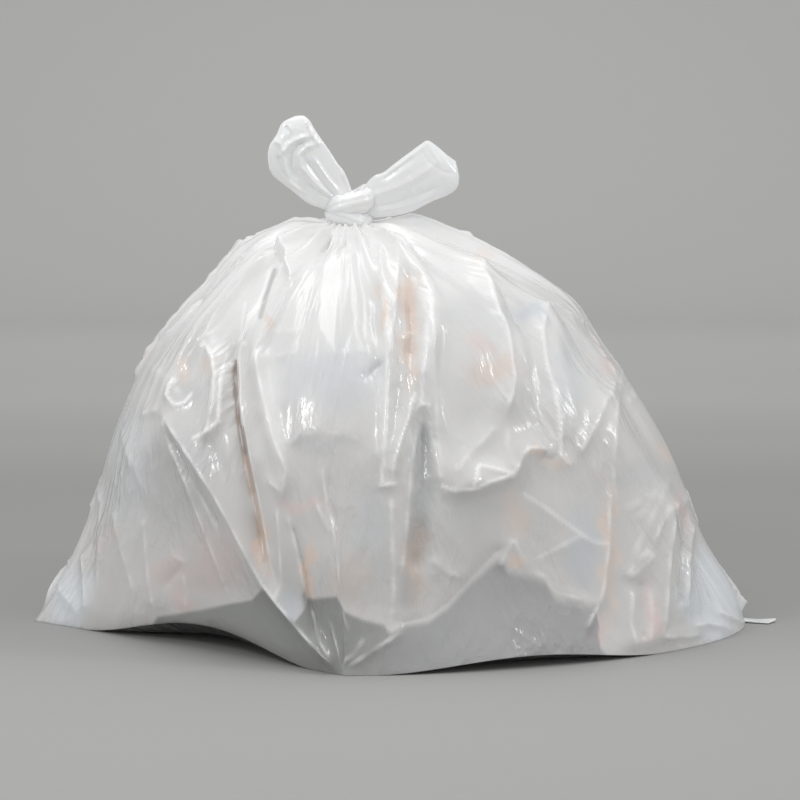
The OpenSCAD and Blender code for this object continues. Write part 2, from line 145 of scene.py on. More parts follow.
# Creases on the front, as the camera sees them: rise, width on the left and on the right, then
# points across and up in the front view. A line runs down or to the right. Of a line that runs
# to the right, the first width is below it. A negative rise is a valley.
FRONT_CREASES = [
    # Pleats of the left shoulder, which fan out from the knot
    (3.5, 8, 5, [(-106, 331), (-140, 308), (-165, 282), (-190, 255), (-216, 227)]),
    (-3, 5, 5, [(-118, 320), (-145, 296), (-165, 275), (-187, 247)]),
    (5, 8, 6, [(-113, 318), (-140, 287), (-160, 262), (-172, 240), (-187, 220), (-196, 205), (-201, 189)]),
    (-5, 5, 6, [(-120, 303), (-135, 286), (-150, 268), (-165, 250), (-178, 230), (-187, 206)]),
    (1.5, 10, 4, [(-217, 217), (-210, 213), (-196, 202)]),
    (3, 5, 5, [(-128, 328), (-160, 300), (-195, 262), (-222, 232)]),
    # The two pockets that hang from that shoulder
    (4, 4, 6, [(-196, 205), (-201, 190), (-194, 182), (-186, 184), (-180, 191)]),
    (2.5, 3, 3, [(-195, 200), (-188, 190)]),
    (5, 5, 4, [(-170, 236), (-163, 222), (-161, 206), (-163, 186), (-165, 168), (-168, 160)]),
    (5, 4, 5, [(-150, 225), (-155, 208), (-156, 188), (-157, 168), (-165, 161), (-178, 154)]),
    # The deep slit, and the film that laps over it from both sides
    (-7, 6, 5, [(-141, 240), (-144, 218), (-142, 194), (-140, 172), (-134, 137), (-128, 109), (-122, 78),
                   (-115, 50)]),
    (5, 4, 14, [(-132, 272), (-135, 250), (-138, 238), (-140, 219), (-139, 186), (-137, 172), (-130, 137),
                   (-124, 109), (-118, 78), (-113, 50), (-106, 24)]),
    (3.5, 14, 4, [(-148, 214), (-144, 200), (-142, 172), (-137, 137), (-131, 109), (-125, 78)]),
    (3, 4, 4, [(-139, 242), (-149, 216), (-143, 221)]),
    # The shiny band right of the slit
    (5, 14, 4, [(-127, 232), (-124, 205), (-118, 180), (-111, 155), (-104, 137), (-100, 125), (-103, 112),
                   (-108, 100)]),
    (3, 3, 3, [(-116, 117), (-109, 113), (-104, 108)]),
    (3, 12, 8, [(-108, 98), (-106, 75), (-104, 50), (-103, 32), (-106, 20), (-111, 28)]),
    # The notch left of the knot and the edge of the middle panel
    (-6, 4, 5, [(-105, 318), (-104, 300), (-110, 285), (-117, 270), (-120, 258)]),
    (4, 5, 12, [(-104, 334), (-101, 314), (-97, 295), (-95, 286), (-104, 270), (-111, 255), (-117, 243),
                   (-124, 237), (-133, 235)]),
    (2.5, 5, 5, [(-101, 312), (-98, 298), (-93, 288)]),
    (1.5, 3, 2, [(-130, 225), (-110, 224), (-90, 228)]),
    (1.2, 2, 2, [(-115, 245), (-90, 245)]),
    (1.2, 2, 2, [(-60, 226), (-30, 230)]),
    # Small pleats right under the knot
    (-3, 3, 4, [(-60, 326), (-63, 318), (-71, 309)]),
    (-3, 3, 4, [(-49, 328), (-50, 316), (-57, 308)]),
    (2.5, 4, 4, [(-55, 328), (-56, 318), (-64, 309)]),
    # The first pleat right of the middle, down to its lip
    (5, 5, 10, [(-30, 330), (-21, 318), (-20, 290), (-18, 262), (-16, 240), (-15, 215), (-15, 185),
                   (-17, 150), (-20, 114)]),
    (-3, 5, 3, [(-24, 312), (-22, 290), (-21, 268), (-20, 250)]),
    (3, 4, 4, [(-29, 272), (-29, 252), (-27, 238), (-23, 225), (-18, 217)]),
    (-3, 4, 3, [(-37, 203), (-28, 209), (-19, 217)]),
    (4.5, 10, 4, [(-12, 328), (-8, 318), (-6, 300), (-7, 275), (-10, 250), (-12, 225), (-12, 205)]),
    (4.5, 7, 4, [(7, 192), (4, 174), (-4, 152), (-9, 134), (-11, 117)]),
    (-2.5, 4, 4, [(-4, 205), (-7, 180), (-11, 150), (-14, 125)]),
    (3, 4, 10, [(-20, 113), (-8, 116)]),
    (3, 9, 9, [(-12, 110), (-11, 85), (-10, 55), (-9, 25), (-12, -4)]),
    # The valley between the two pleats
    (-4, 11, 11, [(2, 294), (4, 275), (5, 255), (4, 235), (3, 215)]),
    (2, 4, 4, [(-5, 237), (5, 243), (12, 242)]),
    # The second pleat
    (7, 5, 14, [(-28, 334), (-15, 331), (-5, 320), (3, 304), (9, 290), (16, 270), (18, 250), (17, 228),
                    (15, 205), (14, 183)]),
    (-3, 4, 4, [(-2, 324), (6, 313), (15, 304)]),
    (3, 12, 10, [(22, 262), (24, 230), (26, 195), (28, 160), (31, 130), (33, 114)]),
    # The wedge that opens below it
    (-3.5, 14, 14, [(16, 178), (17, 150), (15, 120), (14, 90), (12, 60), (8, 32)]),
    (3, 5, 3, [(13, 172), (9, 150), (5, 122), (3, 92), (0, 62), (-3, 32)]),
    (3, 3, 5, [(20, 172), (25, 148), (29, 126), (32, 115)]),
    (3, 3, 8, [(8, 177), (14, 183), (21, 182)]),
    # The shelf of film right of the middle
    (5, 4, 16, [(31, 114), (43, 110), (58, 111), (75, 118), (92, 123), (96, 130), (100, 141), (105, 146),
                   (118, 145), (130, 140)]),
    (3, 4, 4, [(62, 132), (58, 112)]),
    (3, 4, 4, [(62, 132), (78, 128), (92, 123)]),
    (3, 5, 5, [(78, 165), (64, 150), (50, 136), (41, 121)]),
    (2.5, 4, 4, [(88, 165), (86, 150), (90, 136), (94, 126)]),
    # The crinkled ridge of the right shoulder
    (5, 10, 5, [(60, 312), (66, 298), (72, 288), (75, 277), (80, 262), (86, 250), (89, 238), (91, 222),
                   (93, 206), (91, 192), (85, 176), (76, 164)]),
    (-4, 5, 6, [(80, 276), (87, 262), (92, 248)]),
    # The smooth ridge next to it, which turns back at its top
    (5, 6, 5, [(118, 264), (116, 246), (120, 216), (126, 195), (130, 175), (131, 155), (131, 142)]),
    (3.5, 4, 5, [(116, 262), (121, 268), (128, 268), (141, 260), (153, 253), (160, 249)]),
    (3, 4, 4, [(103, 202), (110, 183), (118, 168), (128, 148)]),
    (3, 4, 4, [(131, 142), (136, 135), (142, 130)]),
    (-3, 5, 5, [(113, 138), (122, 137), (130, 139)]),
    # Creases of the right side
    (3.5, 5, 5, [(179, 206), (171, 187), (159, 162), (150, 146), (142, 131)]),
    (3, 4, 6, [(157, 251), (162, 238), (169, 224), (178, 208)]),
    (2.5, 4, 4, [(182, 210), (181, 185), (178, 160), (175, 130), (177, 102), (180, 92)]),
    (4, 7, 7, [(173, 122), (171, 95), (170, 65), (167, 35), (164, 18), (157, 4), (148, -14)]),
    (2, 3, 3, [(196, 198), (189, 186)]),
    # Thin wiry creases
    (1.4, 3, 3, [(100, 107), (116, 97), (132, 85), (148, 73), (158, 67), (170, 65)]),
    (1.2, 3, 3, [(110, 53), (130, 63), (146, 72)]),
    (1.6, 3, 3, [(181, 92), (200, 103), (217, 113)]),
    (1.0, 2, 2, [(186, 86), (197, 91), (206, 97)]),
    # The right corner
    (3.5, 5, 5, [(233, 102), (222, 94), (213, 78), (206, 62)]),
    (3, 4, 4, [(206, 61), (196, 54), (187, 42), (184, 38)]),
    (3, 4, 4, [(209, 59), (203, 50), (193, 41), (185, 37)]),
    (2.5, 5, 3, [(226, 122), (215, 104), (205, 85), (195, 66), (188, 52), (183, 42)]),
    (4, 6, 5, [(230, 95), (223, 62), (220, 25), (218, -2), (216, -12)]),
    (-4, 5, 5, [(236, 92), (231, 60), (228, 28), (230, 2)]),
    (3.5, 5, 5, [(245, 85), (239, 52), (237, 18), (240, -3)]),
    (4, 4, 10, [(216, -12), (224, -13), (238, -12), (250, -10)]),
    (3, 4, 5, [(240, -3), (256, -1), (270, -4), (284, -9)]),
    (3, 4, 4, [(262, 10), (275, 4), (285, 1)]),
    (-3, 4, 4, [(196, 38), (196, 10), (197, -18)]),
    (3, 5, 5, [(190, 28), (188, 0), (194, -24)]),
    (2.5, 5, 5, [(205, 30), (206, 5), (204, -20)]),
    (2.5, 3, 3, [(241, 111), (236, 101)]),
    # The long crease from the left shoulder to the front point, and those beside it
    (7, 5, 16, [(-209, 179), (-190, 150), (-170, 118), (-150, 86), (-134, 56), (-120, 31), (-95, 0),
                    (-72, -26), (-55, -41)]),
    (-5, 8, 6, [(-205, 172), (-193, 148), (-178, 120), (-163, 92), (-150, 72)]),
    (3.5, 8, 4, [(-209, 175), (-199, 145), (-185, 116), (-172, 82), (-160, 52), (-150, 26), (-147, 18)]),
    (2.5, 3, 3, [(-189, 138), (-178, 112), (-166, 87), (-158, 74)]),
    (2.5, 3, 6, [(-222, 174), (-208, 179)]),
    (2, 6, 6, [(-240, 165), (-232, 140), (-224, 120), (-214, 102)]),
    (3, 4, 4, [(-221, 92), (-218, 62), (-214, 32), (-210, 8)]),
    (2.5, 6, 6, [(-246, 95), (-240, 70), (-234, 50), (-225, 20)]),
    (2, 3, 3, [(-196, 56), (-183, 49)]),
    (-2.5, 3, 4, [(-186, 46), (-195, 37), (-199, 28)]),
    (2, 4, 3, [(-187, 40), (-184, 25), (-186, 12)]),
    # The left corner
    (4, 5, 8, [(-272, 60), (-270, 30), (-267, 5)]),
    (3, 5, 5, [(-291, 36), (-284, 20), (-272, 6)]),
    (2.5, 5, 5, [(-262, 130), (-258, 100), (-256, 60), (-258, 20)]),
    # Creases low in the middle
    (-5, 4, 5, [(-95, 86), (-88, 62), (-83, 40), (-80, 20), (-75, 0), (-70, -14)]),
    (3, 5, 4, [(-100, 92), (-94, 72), (-88, 45), (-84, 22)]),
    (2.5, 3, 3, [(-70, 135), (-68, 115), (-65, 95), (-60, 75), (-56, 50), (-55, 26)]),
    (2.5, 3, 3, [(-75, 100), (-70, 88), (-63, 74)]),
    (-2.5, 3, 3, [(-65, 125), (-62, 100), (-57, 75)]),
    # The lower edge of the shiny middle panel
    (1.5, 5, 12, [(-100, 149), (-88, 157), (-70, 160), (-50, 157), (-36, 152)]),
    (2.5, 2.5, 2.5, [(-87, 160), (-94, 151)]),
    # The front point
    (3, 4, 4, [(-80, 12), (-72, -14), (-60, -34)]),
    (3, 4, 4, [(-63, 0), (-56, -24), (-54, -38)]),
    (2, 3, 3, [(-52, 10), (-46, -8)]),
    (2.5, 5, 5, [(-33, -12), (-44, -28), (-53, -40)]),
    (3, 5, 6, [(2, -5), (-24, -22), (-50, -39)]),
    # Where the contents end
    (-3, 10, 4, [(-12, -7), (0, 0), (20, 4), (36, 16), (56, 38), (75, 58), (88, 68)]),
    (3, 4, 5, [(92, 70), (86, 58), (80, 46)]),
    (2.5, 4, 4, [(92, 70), (99, 55), (105, 45)]),
    (2, 4, 4, [(105, 44), (118, 38), (126, 24), (150, 19), (163, 18)]),
    (2.5, 4, 4, [(22, 54), (34, 42), (48, 38)]),
]
# Main folds of the film, the same as in the CAD source: share of the rise, share of the reach,
# then points of bearing and level. They give the film its broad relief, and the creases lie on
# them.
FOLD_RISE = 11
FOLD_REACH = 30
FOLDS = [
    # From the left shoulder down to the front point of the bottom
    (1.1, 0.8, [(212, 0.44), (226, 0.40), (235, 0.34), (241, 0.24), (245, 0.16), (254, 0.06), (264, 0.00)]),
    # The deep slit left of the middle, and the film that laps over it
    (-1.3, 0.7, [(230, 0.62), (236, 0.53), (243, 0.43), (247, 0.32), (247, 0.20)]),
    (0.9, 0.6, [(237, 0.61), (243, 0.56), (249, 0.49), (254, 0.40), (254, 0.33)]),
    (0.6, 0.6, [(239, 0.77), (239, 0.66), (235, 0.61)]),
    # The two pockets that hang from the left shoulder
    (0.8, 0.6, [(206, 0.82), (210, 0.68), (213, 0.57), (213, 0.48), (221, 0.47)]),
    (0.7, 0.6, [(216, 0.59), (228, 0.54), (234, 0.47), (231, 0.42)]),
    (0.4, 0.8, [(190, 0.86), (198, 0.70), (191, 0.53)]),
    # The hollow under the knot
    (0.4, 0.7, [(214, 0.83), (238, 0.80), (258, 0.82), (282, 0.87)]),
    # Two pleats right of the middle, with a valley between them and one below
    (0.9, 0.6, [(296, 0.82), (284, 0.69), (280, 0.58), (278, 0.44), (277, 0.36)]),
    (-0.9, 0.6, [(305, 0.77), (297, 0.72), (291, 0.67), (285, 0.58)]),
    (1.1, 0.6, [(326, 0.88), (318, 0.82), (307, 0.76), (299, 0.68), (290, 0.60), (287, 0.51)]),
    (-0.9, 0.6, [(287, 0.48), (284, 0.37), (281, 0.20)]),
    # The crinkled ridge of the right shoulder, which ends in a shelf, and the ridge beside it
    (0.9, 0.7, [(342, 0.72), (326, 0.67), (317, 0.61), (311, 0.53), (301, 0.44)]),
    (1.0, 0.6, [(287, 0.36), (298, 0.35), (304, 0.39), (313, 0.38)]),
    (0.9, 0.7, [(339, 0.62), (326, 0.56), (320, 0.48), (313, 0.38)]),
    (0.5, 0.8, [(350, 0.50), (336, 0.45), (323, 0.36)]),
    # The right corner
    (-0.5, 1.0, [(321, 0.33), (316, 0.20), (311, 0.05)]),
    (0.6, 1.0, [(340, 0.29), (326, 0.17), (317, 0.02)]),
    (-0.4, 0.8, [(354, 0.24), (339, 0.17), (330, 0.04)]),
    # Where the contents end and the film runs on to the floor
    (-0.4, 1.1, [(222, 0.09), (240, 0.14), (270, 0.15), (284, 0.13), (300, 0.21)]),
    # The right side and the right half of the back
    (0.5, 0.9, [(8, 0.80), (3, 0.62), (8, 0.44), (14, 0.24)]),
    (-0.6, 0.8, [(20, 0.80), (26, 0.62), (32, 0.42), (30, 0.22)]),
    (0.7, 0.9, [(38, 0.84), (44, 0.66), (48, 0.46), (56, 0.26), (66, 0.04)]),
    (0.5, 0.7, [(48, 0.46), (58, 0.40), (70, 0.43)]),
    (-0.7, 0.8, [(58, 0.82), (62, 0.66), (60, 0.54)]),
    (0.6, 0.8, [(72, 0.86), (76, 0.68), (72, 0.52), (78, 0.32)]),
    (-0.4, 0.6, [(80, 0.88), (81, 0.60), (83, 0.42)]),
    # The left half of the back and the left side
    (-0.4, 0.9, [(92, 0.60), (93, 0.40), (91, 0.26)]),
    (0.5, 0.5, [(87, 0.40), (89, 0.25), (93, 0.08)]),
    (0.6, 0.9, [(106, 0.86), (110, 0.66), (107, 0.48), (99, 0.32)]),
    (-0.5, 0.5, [(100, 0.88), (101, 0.62), (103, 0.44)]),
    (-0.5, 0.8, [(126, 0.62), (119, 0.46), (116, 0.34)]),
    (0.7, 1.0, [(150, 0.56), (138, 0.42), (124, 0.26), (106, 0.08), (96, 0.00)]),
    (0.5, 0.8, [(146, 0.84), (142, 0.70), (146, 0.60)]),
    (0.5, 0.6, [(164, 0.82), (166, 0.59), (170, 0.40)]),
    (-0.4, 0.9, [(168, 0.40), (158, 0.28), (150, 0.08)]),
    (0.3, 0.8, [(176, 0.82), (179, 0.62), (174, 0.42)]),
]
FOLD_SHARP = 1.4
# The share of a fold's rise that is left to its broad form, below its creases
FOLD_SHARE = 0.55

# The share of its rise that a crease of the front keeps, since the broad relief lies below it
CREASE_SHARE = 0.8
CREASE_SHARP = 1.2
# The share of its length over which a crease runs out at an end, and its height there
TAPER = 0.12
END_HEIGHT = 0.2
# The least run of a crease's side for its rise, so that no side is too steep for the grid
LEAST_RUN = 1.4
# The share of a crease's height from which it holds the film and the run of that, and the rise
# from which it holds fully
HOLD = (0.55, 0.35)
FULL_HOLD_RISE = 2.5
# How close to a crease a grid point is moved onto it
CATCH_REACH = 2.4 * MM
EAR_CATCH_REACH = 1.2 * MM
# The shares of that reach within which a point moves all the way, and beyond which not at all
CATCH_FULL = 0.25
CATCH_END = 0.75
# A crest gets a painted highlight: how far from its line, how strongly at the line, how unevenly
# along it, the rise from which it is full, and what a low crest keeps
CREST_HIGHLIGHT_REACH = 2.3 * MM
CREST_GAIN = 1.2
CREST_WAVES = 260
CREST_EVEN = 0.6
FULL_CREST_RISE = 4
LEAST_CREST = 0.35

# Lumps of the contents and hollows: rise, half width, bearing and level
LUMPS = [
    (10, 104, 264, 0.50), (-9, 52, 244, 0.87), (11, 88, 303, 0.62),
    (9, 80, 326, 0.44), (-8, 72, 292, 0.20), (3, 72, 207, 0.60),
    (-7, 64, 222, 0.24), (9, 72, 262, 0.20), (9, 72, 330, 0.22),
    (9, 88, 20, 0.52), (-7, 72, 44, 0.24), (10, 96, 66, 0.56),
    (9, 88, 116, 0.54), (-8, 72, 92, 0.24), (10, 80, 140, 0.34),
    (8, 72, 96, 0.76), (3, 72, 168, 0.46),
]
# A lump is drawn about a very short line that runs up by this much level
LUMP_LINE = 0.001

# Above this level the film is bunched for the knot, and keeps its place
HELD_LEVEL = 0.97
# The gathers below the knot: how many, rise, sharpness, and the share that lies below the wall
GATHERS = 16
GATHER_RISE = 15
GATHER_SHARP = 1.8
GATHER_BELOW = 0.38
# How their rise, and how far they run down, change round the bag: least share, waves and start
GATHER_SIZE_WAVE = (0.5, 5, 70)
GATHER_RUN_WAVE = (0.6, 4, 0)
# How far down from the neck the longest of them run, and the level at which they are full
GATHER_RUN = 0.72
GATHER_FULL = 0.93
# Close to the knot they are lower: from which level on and the run of that, and what they lose
GATHER_EASE = (0.85, 0.12)
GATHER_LOSS = 0.75
# Where they run out soon below the knot: middle bearing, half width and share. Then the width of
# such a place's edge, and the level from which it ends and the run of that.
CALM_PLACES = [(258, 24, 0.9), (322, 24, 0.7), (215, 10, 0.4), (150, 16, 0.6)]
CALM_EDGE = 12
CALM_TOP = (0.84, 0.10)

# Rounds by which the film is drawn tight between its creases
TIGHT_ROUNDS = 10
# Crumpled facets on the film: rise, seed, and size across and up
CRUMPLES = [(1.8, 21, 0.040, 0.070), (0.9, 22, 0.020, 0.034)]
FACET_JITTER = 0.48
# High on the bag they are lower: from which level on and the run of that, and what they lose
CRUMPLE_EASE = (0.6, 0.3)
CRUMPLE_LOSS = 0.6

# The creases of the sides and the back are drawn at random, from this seed
BACK_SEED = 11
# Long pleats: the bearings, the level at the top and at the foot, how far they stray and drift,
# the stops along them, their rise, the reach of either side, and the share of ridges
PLEAT_BEARINGS = range(2, 178, 9)
PLEAT_TOP = 0.93
PLEAT_FOOT = (0.35, 0.75)
PLEAT_STRAY = (-3, 3)
PLEAT_DRIFT = 7
PLEAT_STOPS = (0, 0.3, 0.65, 1)
PLEAT_RISE = (3, 6)
PLEAT_REACH = ((3, 6), (6, 13))
PLEAT_RIDGES = 0.7
# Tension creases: where they run to, at the bottom edge, and between which bearings they start,
# how many for each, the level at their top, the stops along them, how they bend, rise and reach
TENSION_FEET = [(4, 12, 62), (176, 118, 168), (96, 80, 112)]
TENSION_CREASES = 7
TENSION_TOP = (0.25, 0.6)
TENSION_STOPS = (0, 0.35, 0.7, 0.97)
TENSION_BEND = 1.4
TENSION_RISE = (2, 5)
TENSION_REACH = (3, 8)
# Short creases: how many, the bearings and levels of their middles, how much higher than those
# they lie, their length, how they turn and bend, the stops along them, their rise and reach, and
# the share of ridges
SHORT_CREASES = 110
SHORT_BEARINGS = (0, 180)
SHORT_LEVELS = (0.05, 0.8)
SHORT_LIFT = 0.002
SHORT_LENGTH = (0.02, 0.07)
SHORT_TURN = 0.7
SHORT_BEND = 0.3
SHORT_STOPS = (-0.5, -0.17, 0.17, 0.5)
SHORT_RISE = (1.2, 3.5)
SHORT_REACH = (2.5, 6)
SHORT_RIDGES = 0.65

# For each metre that the bottom edge is lifted, the film turns in by so much more to the floor,
# and it stays at least this share of the way out
MARGIN_SLOPE = 1.6
LEAST_FLOOR = 0.1
# The ring on the way up: its share of the way out from the floor, and of the edge's height
RISING_OUT = 0.75
RISING_UP = 0.5
# The ring next to the bottom edge: its share of the way out and up
LIP = 0.99
# The underside keeps this share of its colour, a painted shadow under the bag's bottom edge
UNDER_SHADE = 0.2
# Columns by which each half of the body reaches in under the other, how deep, and over how many
TUCKED = 7
TUCK_DEPTH = 0.8 * MM
TUCK_RUN = 3

# Colours of the film: high on the bag, low on the bag, and the painted highlight on the crests of its
# creases
WHITE = (0.80, 0.80, 0.795)
LOW_WHITE = (0.70, 0.69, 0.68)
CREST_HIGHLIGHT = (0.99, 0.99, 0.99)
CREST_HIGHLIGHT_SHARE = 0.8
# The height from which the low colour turns into the high one, and how far that takes
LOW_WHITE_END = (0.13, 0.13)
# Where the front's colours run out towards the back, and how far that takes
FRONT_END = (-0.02, 0.05)
# How far the back's patches are shifted to one side
BACK_SHIFT = 0.05
# Waves that make the edges of the patches ragged. Those that shift a place across: size, and
# millimetres a radian up and across. Those that shift it up: the same, across and up.
RAGGED_ACROSS = [(3, 7, 19), (1.5, 3.1, math.inf)]
RAGGED_UP = [(4, 8, -17), (1.5, 3.7, math.inf)]
# The share of a patch's half size within which it is full, and how far it takes to run out
PATCH_EDGE = (0.4, 1.1)
# A tint line is full over part of its width, and this is how steeply its sides run out
LINE_GAIN = 1.3
# Tints of the film. White and bright are painted light, grey, blue and dark painted shade, and brown a
# ground seen through that painted shade darkens. Peach, pink and sky show what lies behind the film.
TINTS_SHADES_AND_HIGHLIGHTS = {
    "white": (0.90, 0.90, 0.895),
    "grey": (0.60, 0.61, 0.62),
    "blue": (0.60, 0.65, 0.71),
    "sky": (0.80, 0.86, 0.91),
    "peach": (0.84, 0.69, 0.60),
    "pink": (0.82, 0.66, 0.63),
    "brown": (0.26, 0.17, 0.12),
    "dark": (0.20, 0.20, 0.20),
    "bright": (0.99, 0.99, 0.99),
}
# What shows through the film on the front, and painted light and shade: across, up, half sizes,
# tint and strength. The white patches are painted light on the shiny band, the pleats and the top
# of the dome; the grey and blue ones are painted shadows of the contents.
PATCHES_WITH_LIGHT_AND_SHADE = [
    (-130, 290, 75, 45, "white", 0.8), (30, 312, 130, 34, "white", 0.8), (-112, 160, 12, 55, "white", 0.6),
    (-15, 190, 9, 70, "white", 0.6), (20, 240, 7, 55, "white", 0.6), (60, 150, 34, 22, "white", 0.4),
    (-190, 122, 36, 44, "grey", 0.50), (-186, 192, 14, 12, "grey", 0.5), (15, 125, 10, 52, "grey", 0.7),
    (-68, 150, 30, 9, "grey", 0.5), (48, 92, 30, 26, "grey", 0.35), (200, 122, 26, 14, "grey", 0.5),
    (92, 258, 12, 18, "grey", 0.45), (58, 262, 24, 26, "grey", 0.30), (108, 88, 20, 22, "grey", 0.25),
    (-60, 205, 42, 26, "blue", 0.35), (105, 258, 14, 7, "blue", 0.6), (150, 62, 14, 36, "blue", 0.45),
    (-95, 5, 12, 20, "blue", 0.5), (138, 205, 14, 30, "blue", 0.25), (-30, 80, 16, 40, "blue", 0.25),
    (-282, 22, 22, 26, "sky", 0.7), (258, 24, 28, 40, "sky", 0.7), (-235, 130, 20, 60, "sky", 0.3),
    (3, 272, 8, 22, "peach", 0.6), (4, 225, 8, 26, "peach", 0.5), (-19, 266, 4, 18, "peach", 0.6),
    (74, 210, 20, 14, "peach", 0.50), (62, 234, 14, 8, "pink", 0.4), (-117, 255, 4, 8, "peach", 0.6),
    (-184, 214, 5, 14, "peach", 0.5), (-166, 212, 6, 10, "peach", 0.4), (-80, 40, 5, 22, "peach", 0.8),
    (-45, 36, 16, 22, "peach", 0.45), (-85, 98, 18, 6, "pink", 0.45), (8, 52, 9, 32, "peach", 0.65),
    (92, 88, 12, 16, "peach", 0.4), (-40, 40, 20, 30, "grey", 0.3), (-215, 60, 40, 40, "white", 0.25),
    (92, 53, 8, 7, "peach", 0.7), (130, 136, 12, 5, "peach", 0.5), (112, 140, 9, 4, "peach", 0.6),
    (171, 62, 7, 56, "peach", 0.55), (158, -5, 12, 14, "pink", 0.7), (206, 5, 7, 20, "pink", 0.6),
    (176, 222, 9, 15, "pink", 0.5), (162, 238, 6, 8, "pink", 0.4), (222, 143, 10, 7, "peach", 0.5),
    (232, 92, 5, 14, "pink", 0.6), (66, 312, 8, 8, "peach", 0.4), (-196, 40, 18, 14, "pink", 0.45),
    (-158, 50, 22, 28, "pink", 0.40), (-188, 18, 9, 10, "pink", 0.5), (-250, 72, 8, 12, "pink", 0.3),
    (-121, 66, 5, 22, "peach", 0.8),
]
# Below this line of the front view the contents end, and the film is painted with the shade of the hollow
# behind it, where the floor lies in shadow
CONTENTS_END = [
    (-330, -40), (-214, -8), (-207, 6), (-170, 12), (-147, 17), (-128, 20), (-119, 30), (-112, 21),
    (-104, 12), (-92, 2), (-84, 12), (-81, 21), (-57, 23), (-50, 10), (-36, 4), (-18, 0), (-12, -7), (0, 0),
    (20, 4), (36, 16), (56, 38), (80, 58), (86, 47), (100, 44), (118, 38), (126, 23), (150, 18), (160, 18),
    (163, -17), (180, -38), (340, -40),
]
# The left and the right painted shade of that gap, from where to where across the one runs into
# the other, the softness of its upper edge at both places, and its strength
GAP_SHADE_LEFT = (0.30, 0.31, 0.30)
GAP_SHADE_RIGHT = (0.42, 0.42, 0.43)
GAP_TURN = (-40, 60)
GAP_SOFT = (4, 10)
GAP_SHADE_STRENGTH = 0.9

# Strips of the front along some creases: painted shade in hollows, a brown ground with painted
# shade in the deep slit, a tan ground seen through, and painted highlights on thin crests: tint,
# strength, half width and points
LINES_OF_TINT_SHADE_AND_HIGHLIGHT = [
    # The deep slit: a brown ground, darkened by painted shade in the slit
    ("brown", 0.75, 3.6, [(-143, 218), (-142, 194), (-140, 172), (-134, 137), (-128, 109)]),
    ("brown", 0.45, 3.6, [(-134, 137), (-128, 109), (-122, 78), (-117, 52)]),
    ("peach", 0.50, 4.5, [(-134, 137), (-128, 109), (-120, 70), (-113, 40)]),
    # The dark lines are painted shade in hollows: the groove at the front point, the notch left of the knot
    # and the wedge below the second pleat
    ("dark", 0.50, 5.0, [(-83, 22), (-81, 8), (-78, -8)]),
    ("dark", 0.35, 3.0, [(-110, 296), (-117, 275), (-122, 256)]),
    ("peach", 0.60, 3.0, [(-82, 62), (-83, 40), (-81, 22)]),
    ("peach", 0.50, 6.0, [(4, 290), (5, 260), (4, 225)]),
    ("dark", 0.16, 13.0, [(18, 150), (17, 120), (14, 85), (11, 55)]),
    ("dark", 0.22, 15.0, [(10, 80), (7, 55), (4, 20)]),
    # Painted highlights on thin crests
    ("bright", 0.35, 2.4, [(100, 107), (116, 97), (132, 85), (148, 73), (158, 67), (170, 65)]),
    ("bright", 0.25, 2.4, [(110, 53), (130, 63), (146, 72)]),
    ("bright", 0.9, 2.0, [(-196, 205), (-201, 190), (-194, 182), (-186, 184), (-180, 191)]),
    ("bright", 0.9, 2.0, [(-170, 236), (-163, 222), (-161, 206), (-163, 186), (-165, 168), (-168, 160)]),
    ("bright", 0.9, 2.0, [(-150, 225), (-155, 208), (-156, 188), (-157, 168), (-165, 161), (-178, 154)]),
    ("bright", 0.9, 2.0, [(-135, 268), (-138, 238), (-140, 219), (-139, 186), (-136, 165)]),
    ("bright", 0.8, 2.0, [(-15, 200), (-15, 185), (-17, 150), (-20, 114), (-8, 116)]),
    ("bright", 0.7, 2.0, [(8, 192), (4, 174), (-4, 152), (-9, 134)]),
    ("bright", 0.8, 2.0, [(18, 250), (17, 228), (15, 205), (14, 183), (21, 182)]),
    ("bright", 0.7, 2.2, [(116, 246), (120, 216), (126, 195), (130, 175), (131, 155), (131, 142)]),
    ("bright", 0.8, 2.2, [(31, 114), (43, 110), (58, 111), (75, 118), (92, 123), (96, 130)]),
    ("bright", 0.7, 1.8, [(62, 132), (58, 112)]),
    ("bright", 0.7, 1.8, [(62, 132), (78, 128), (92, 123)]),
    ("bright", 0.8, 2.0, [(-120, 31), (-95, 0), (-72, -26), (-55, -41)]),
    ("bright", 0.7, 1.8, [(72, 288), (75, 277), (80, 262), (86, 250), (89, 238), (91, 222)]),
]

# The two edges of each ear in the front view, from inside the knot to the end
LEFT_EAR_EDGES = [
    ((-58, 340), (-44, 350)), ((-67, 347), (-45, 363)), ((-82, 353), (-51, 379)), ((-96, 364), (-57, 387)),
    ((-112, 377), (-64, 398)), ((-116, 390), (-71, 408)), ((-115, 402), (-77, 417)),
    ((-109, 412), (-81, 424)), ((-105, 421), (-86, 428)), ((-100, 425), (-93, 428)),
]
RIGHT_EAR_EDGES = [
    ((-34, 340), (-44, 350)), ((-20, 341), (-37, 363)), ((-5, 343), (-32, 371)), ((6, 346), (-26, 377)),
    ((14, 350), (-18, 380)), ((24, 355), (-8, 388)), ((36, 360), (4, 397)), ((44, 366), (12, 403)),
    ((46, 374), (19, 407)), ((45, 381), (27, 402)), ((43, 389), (35, 395)),
]
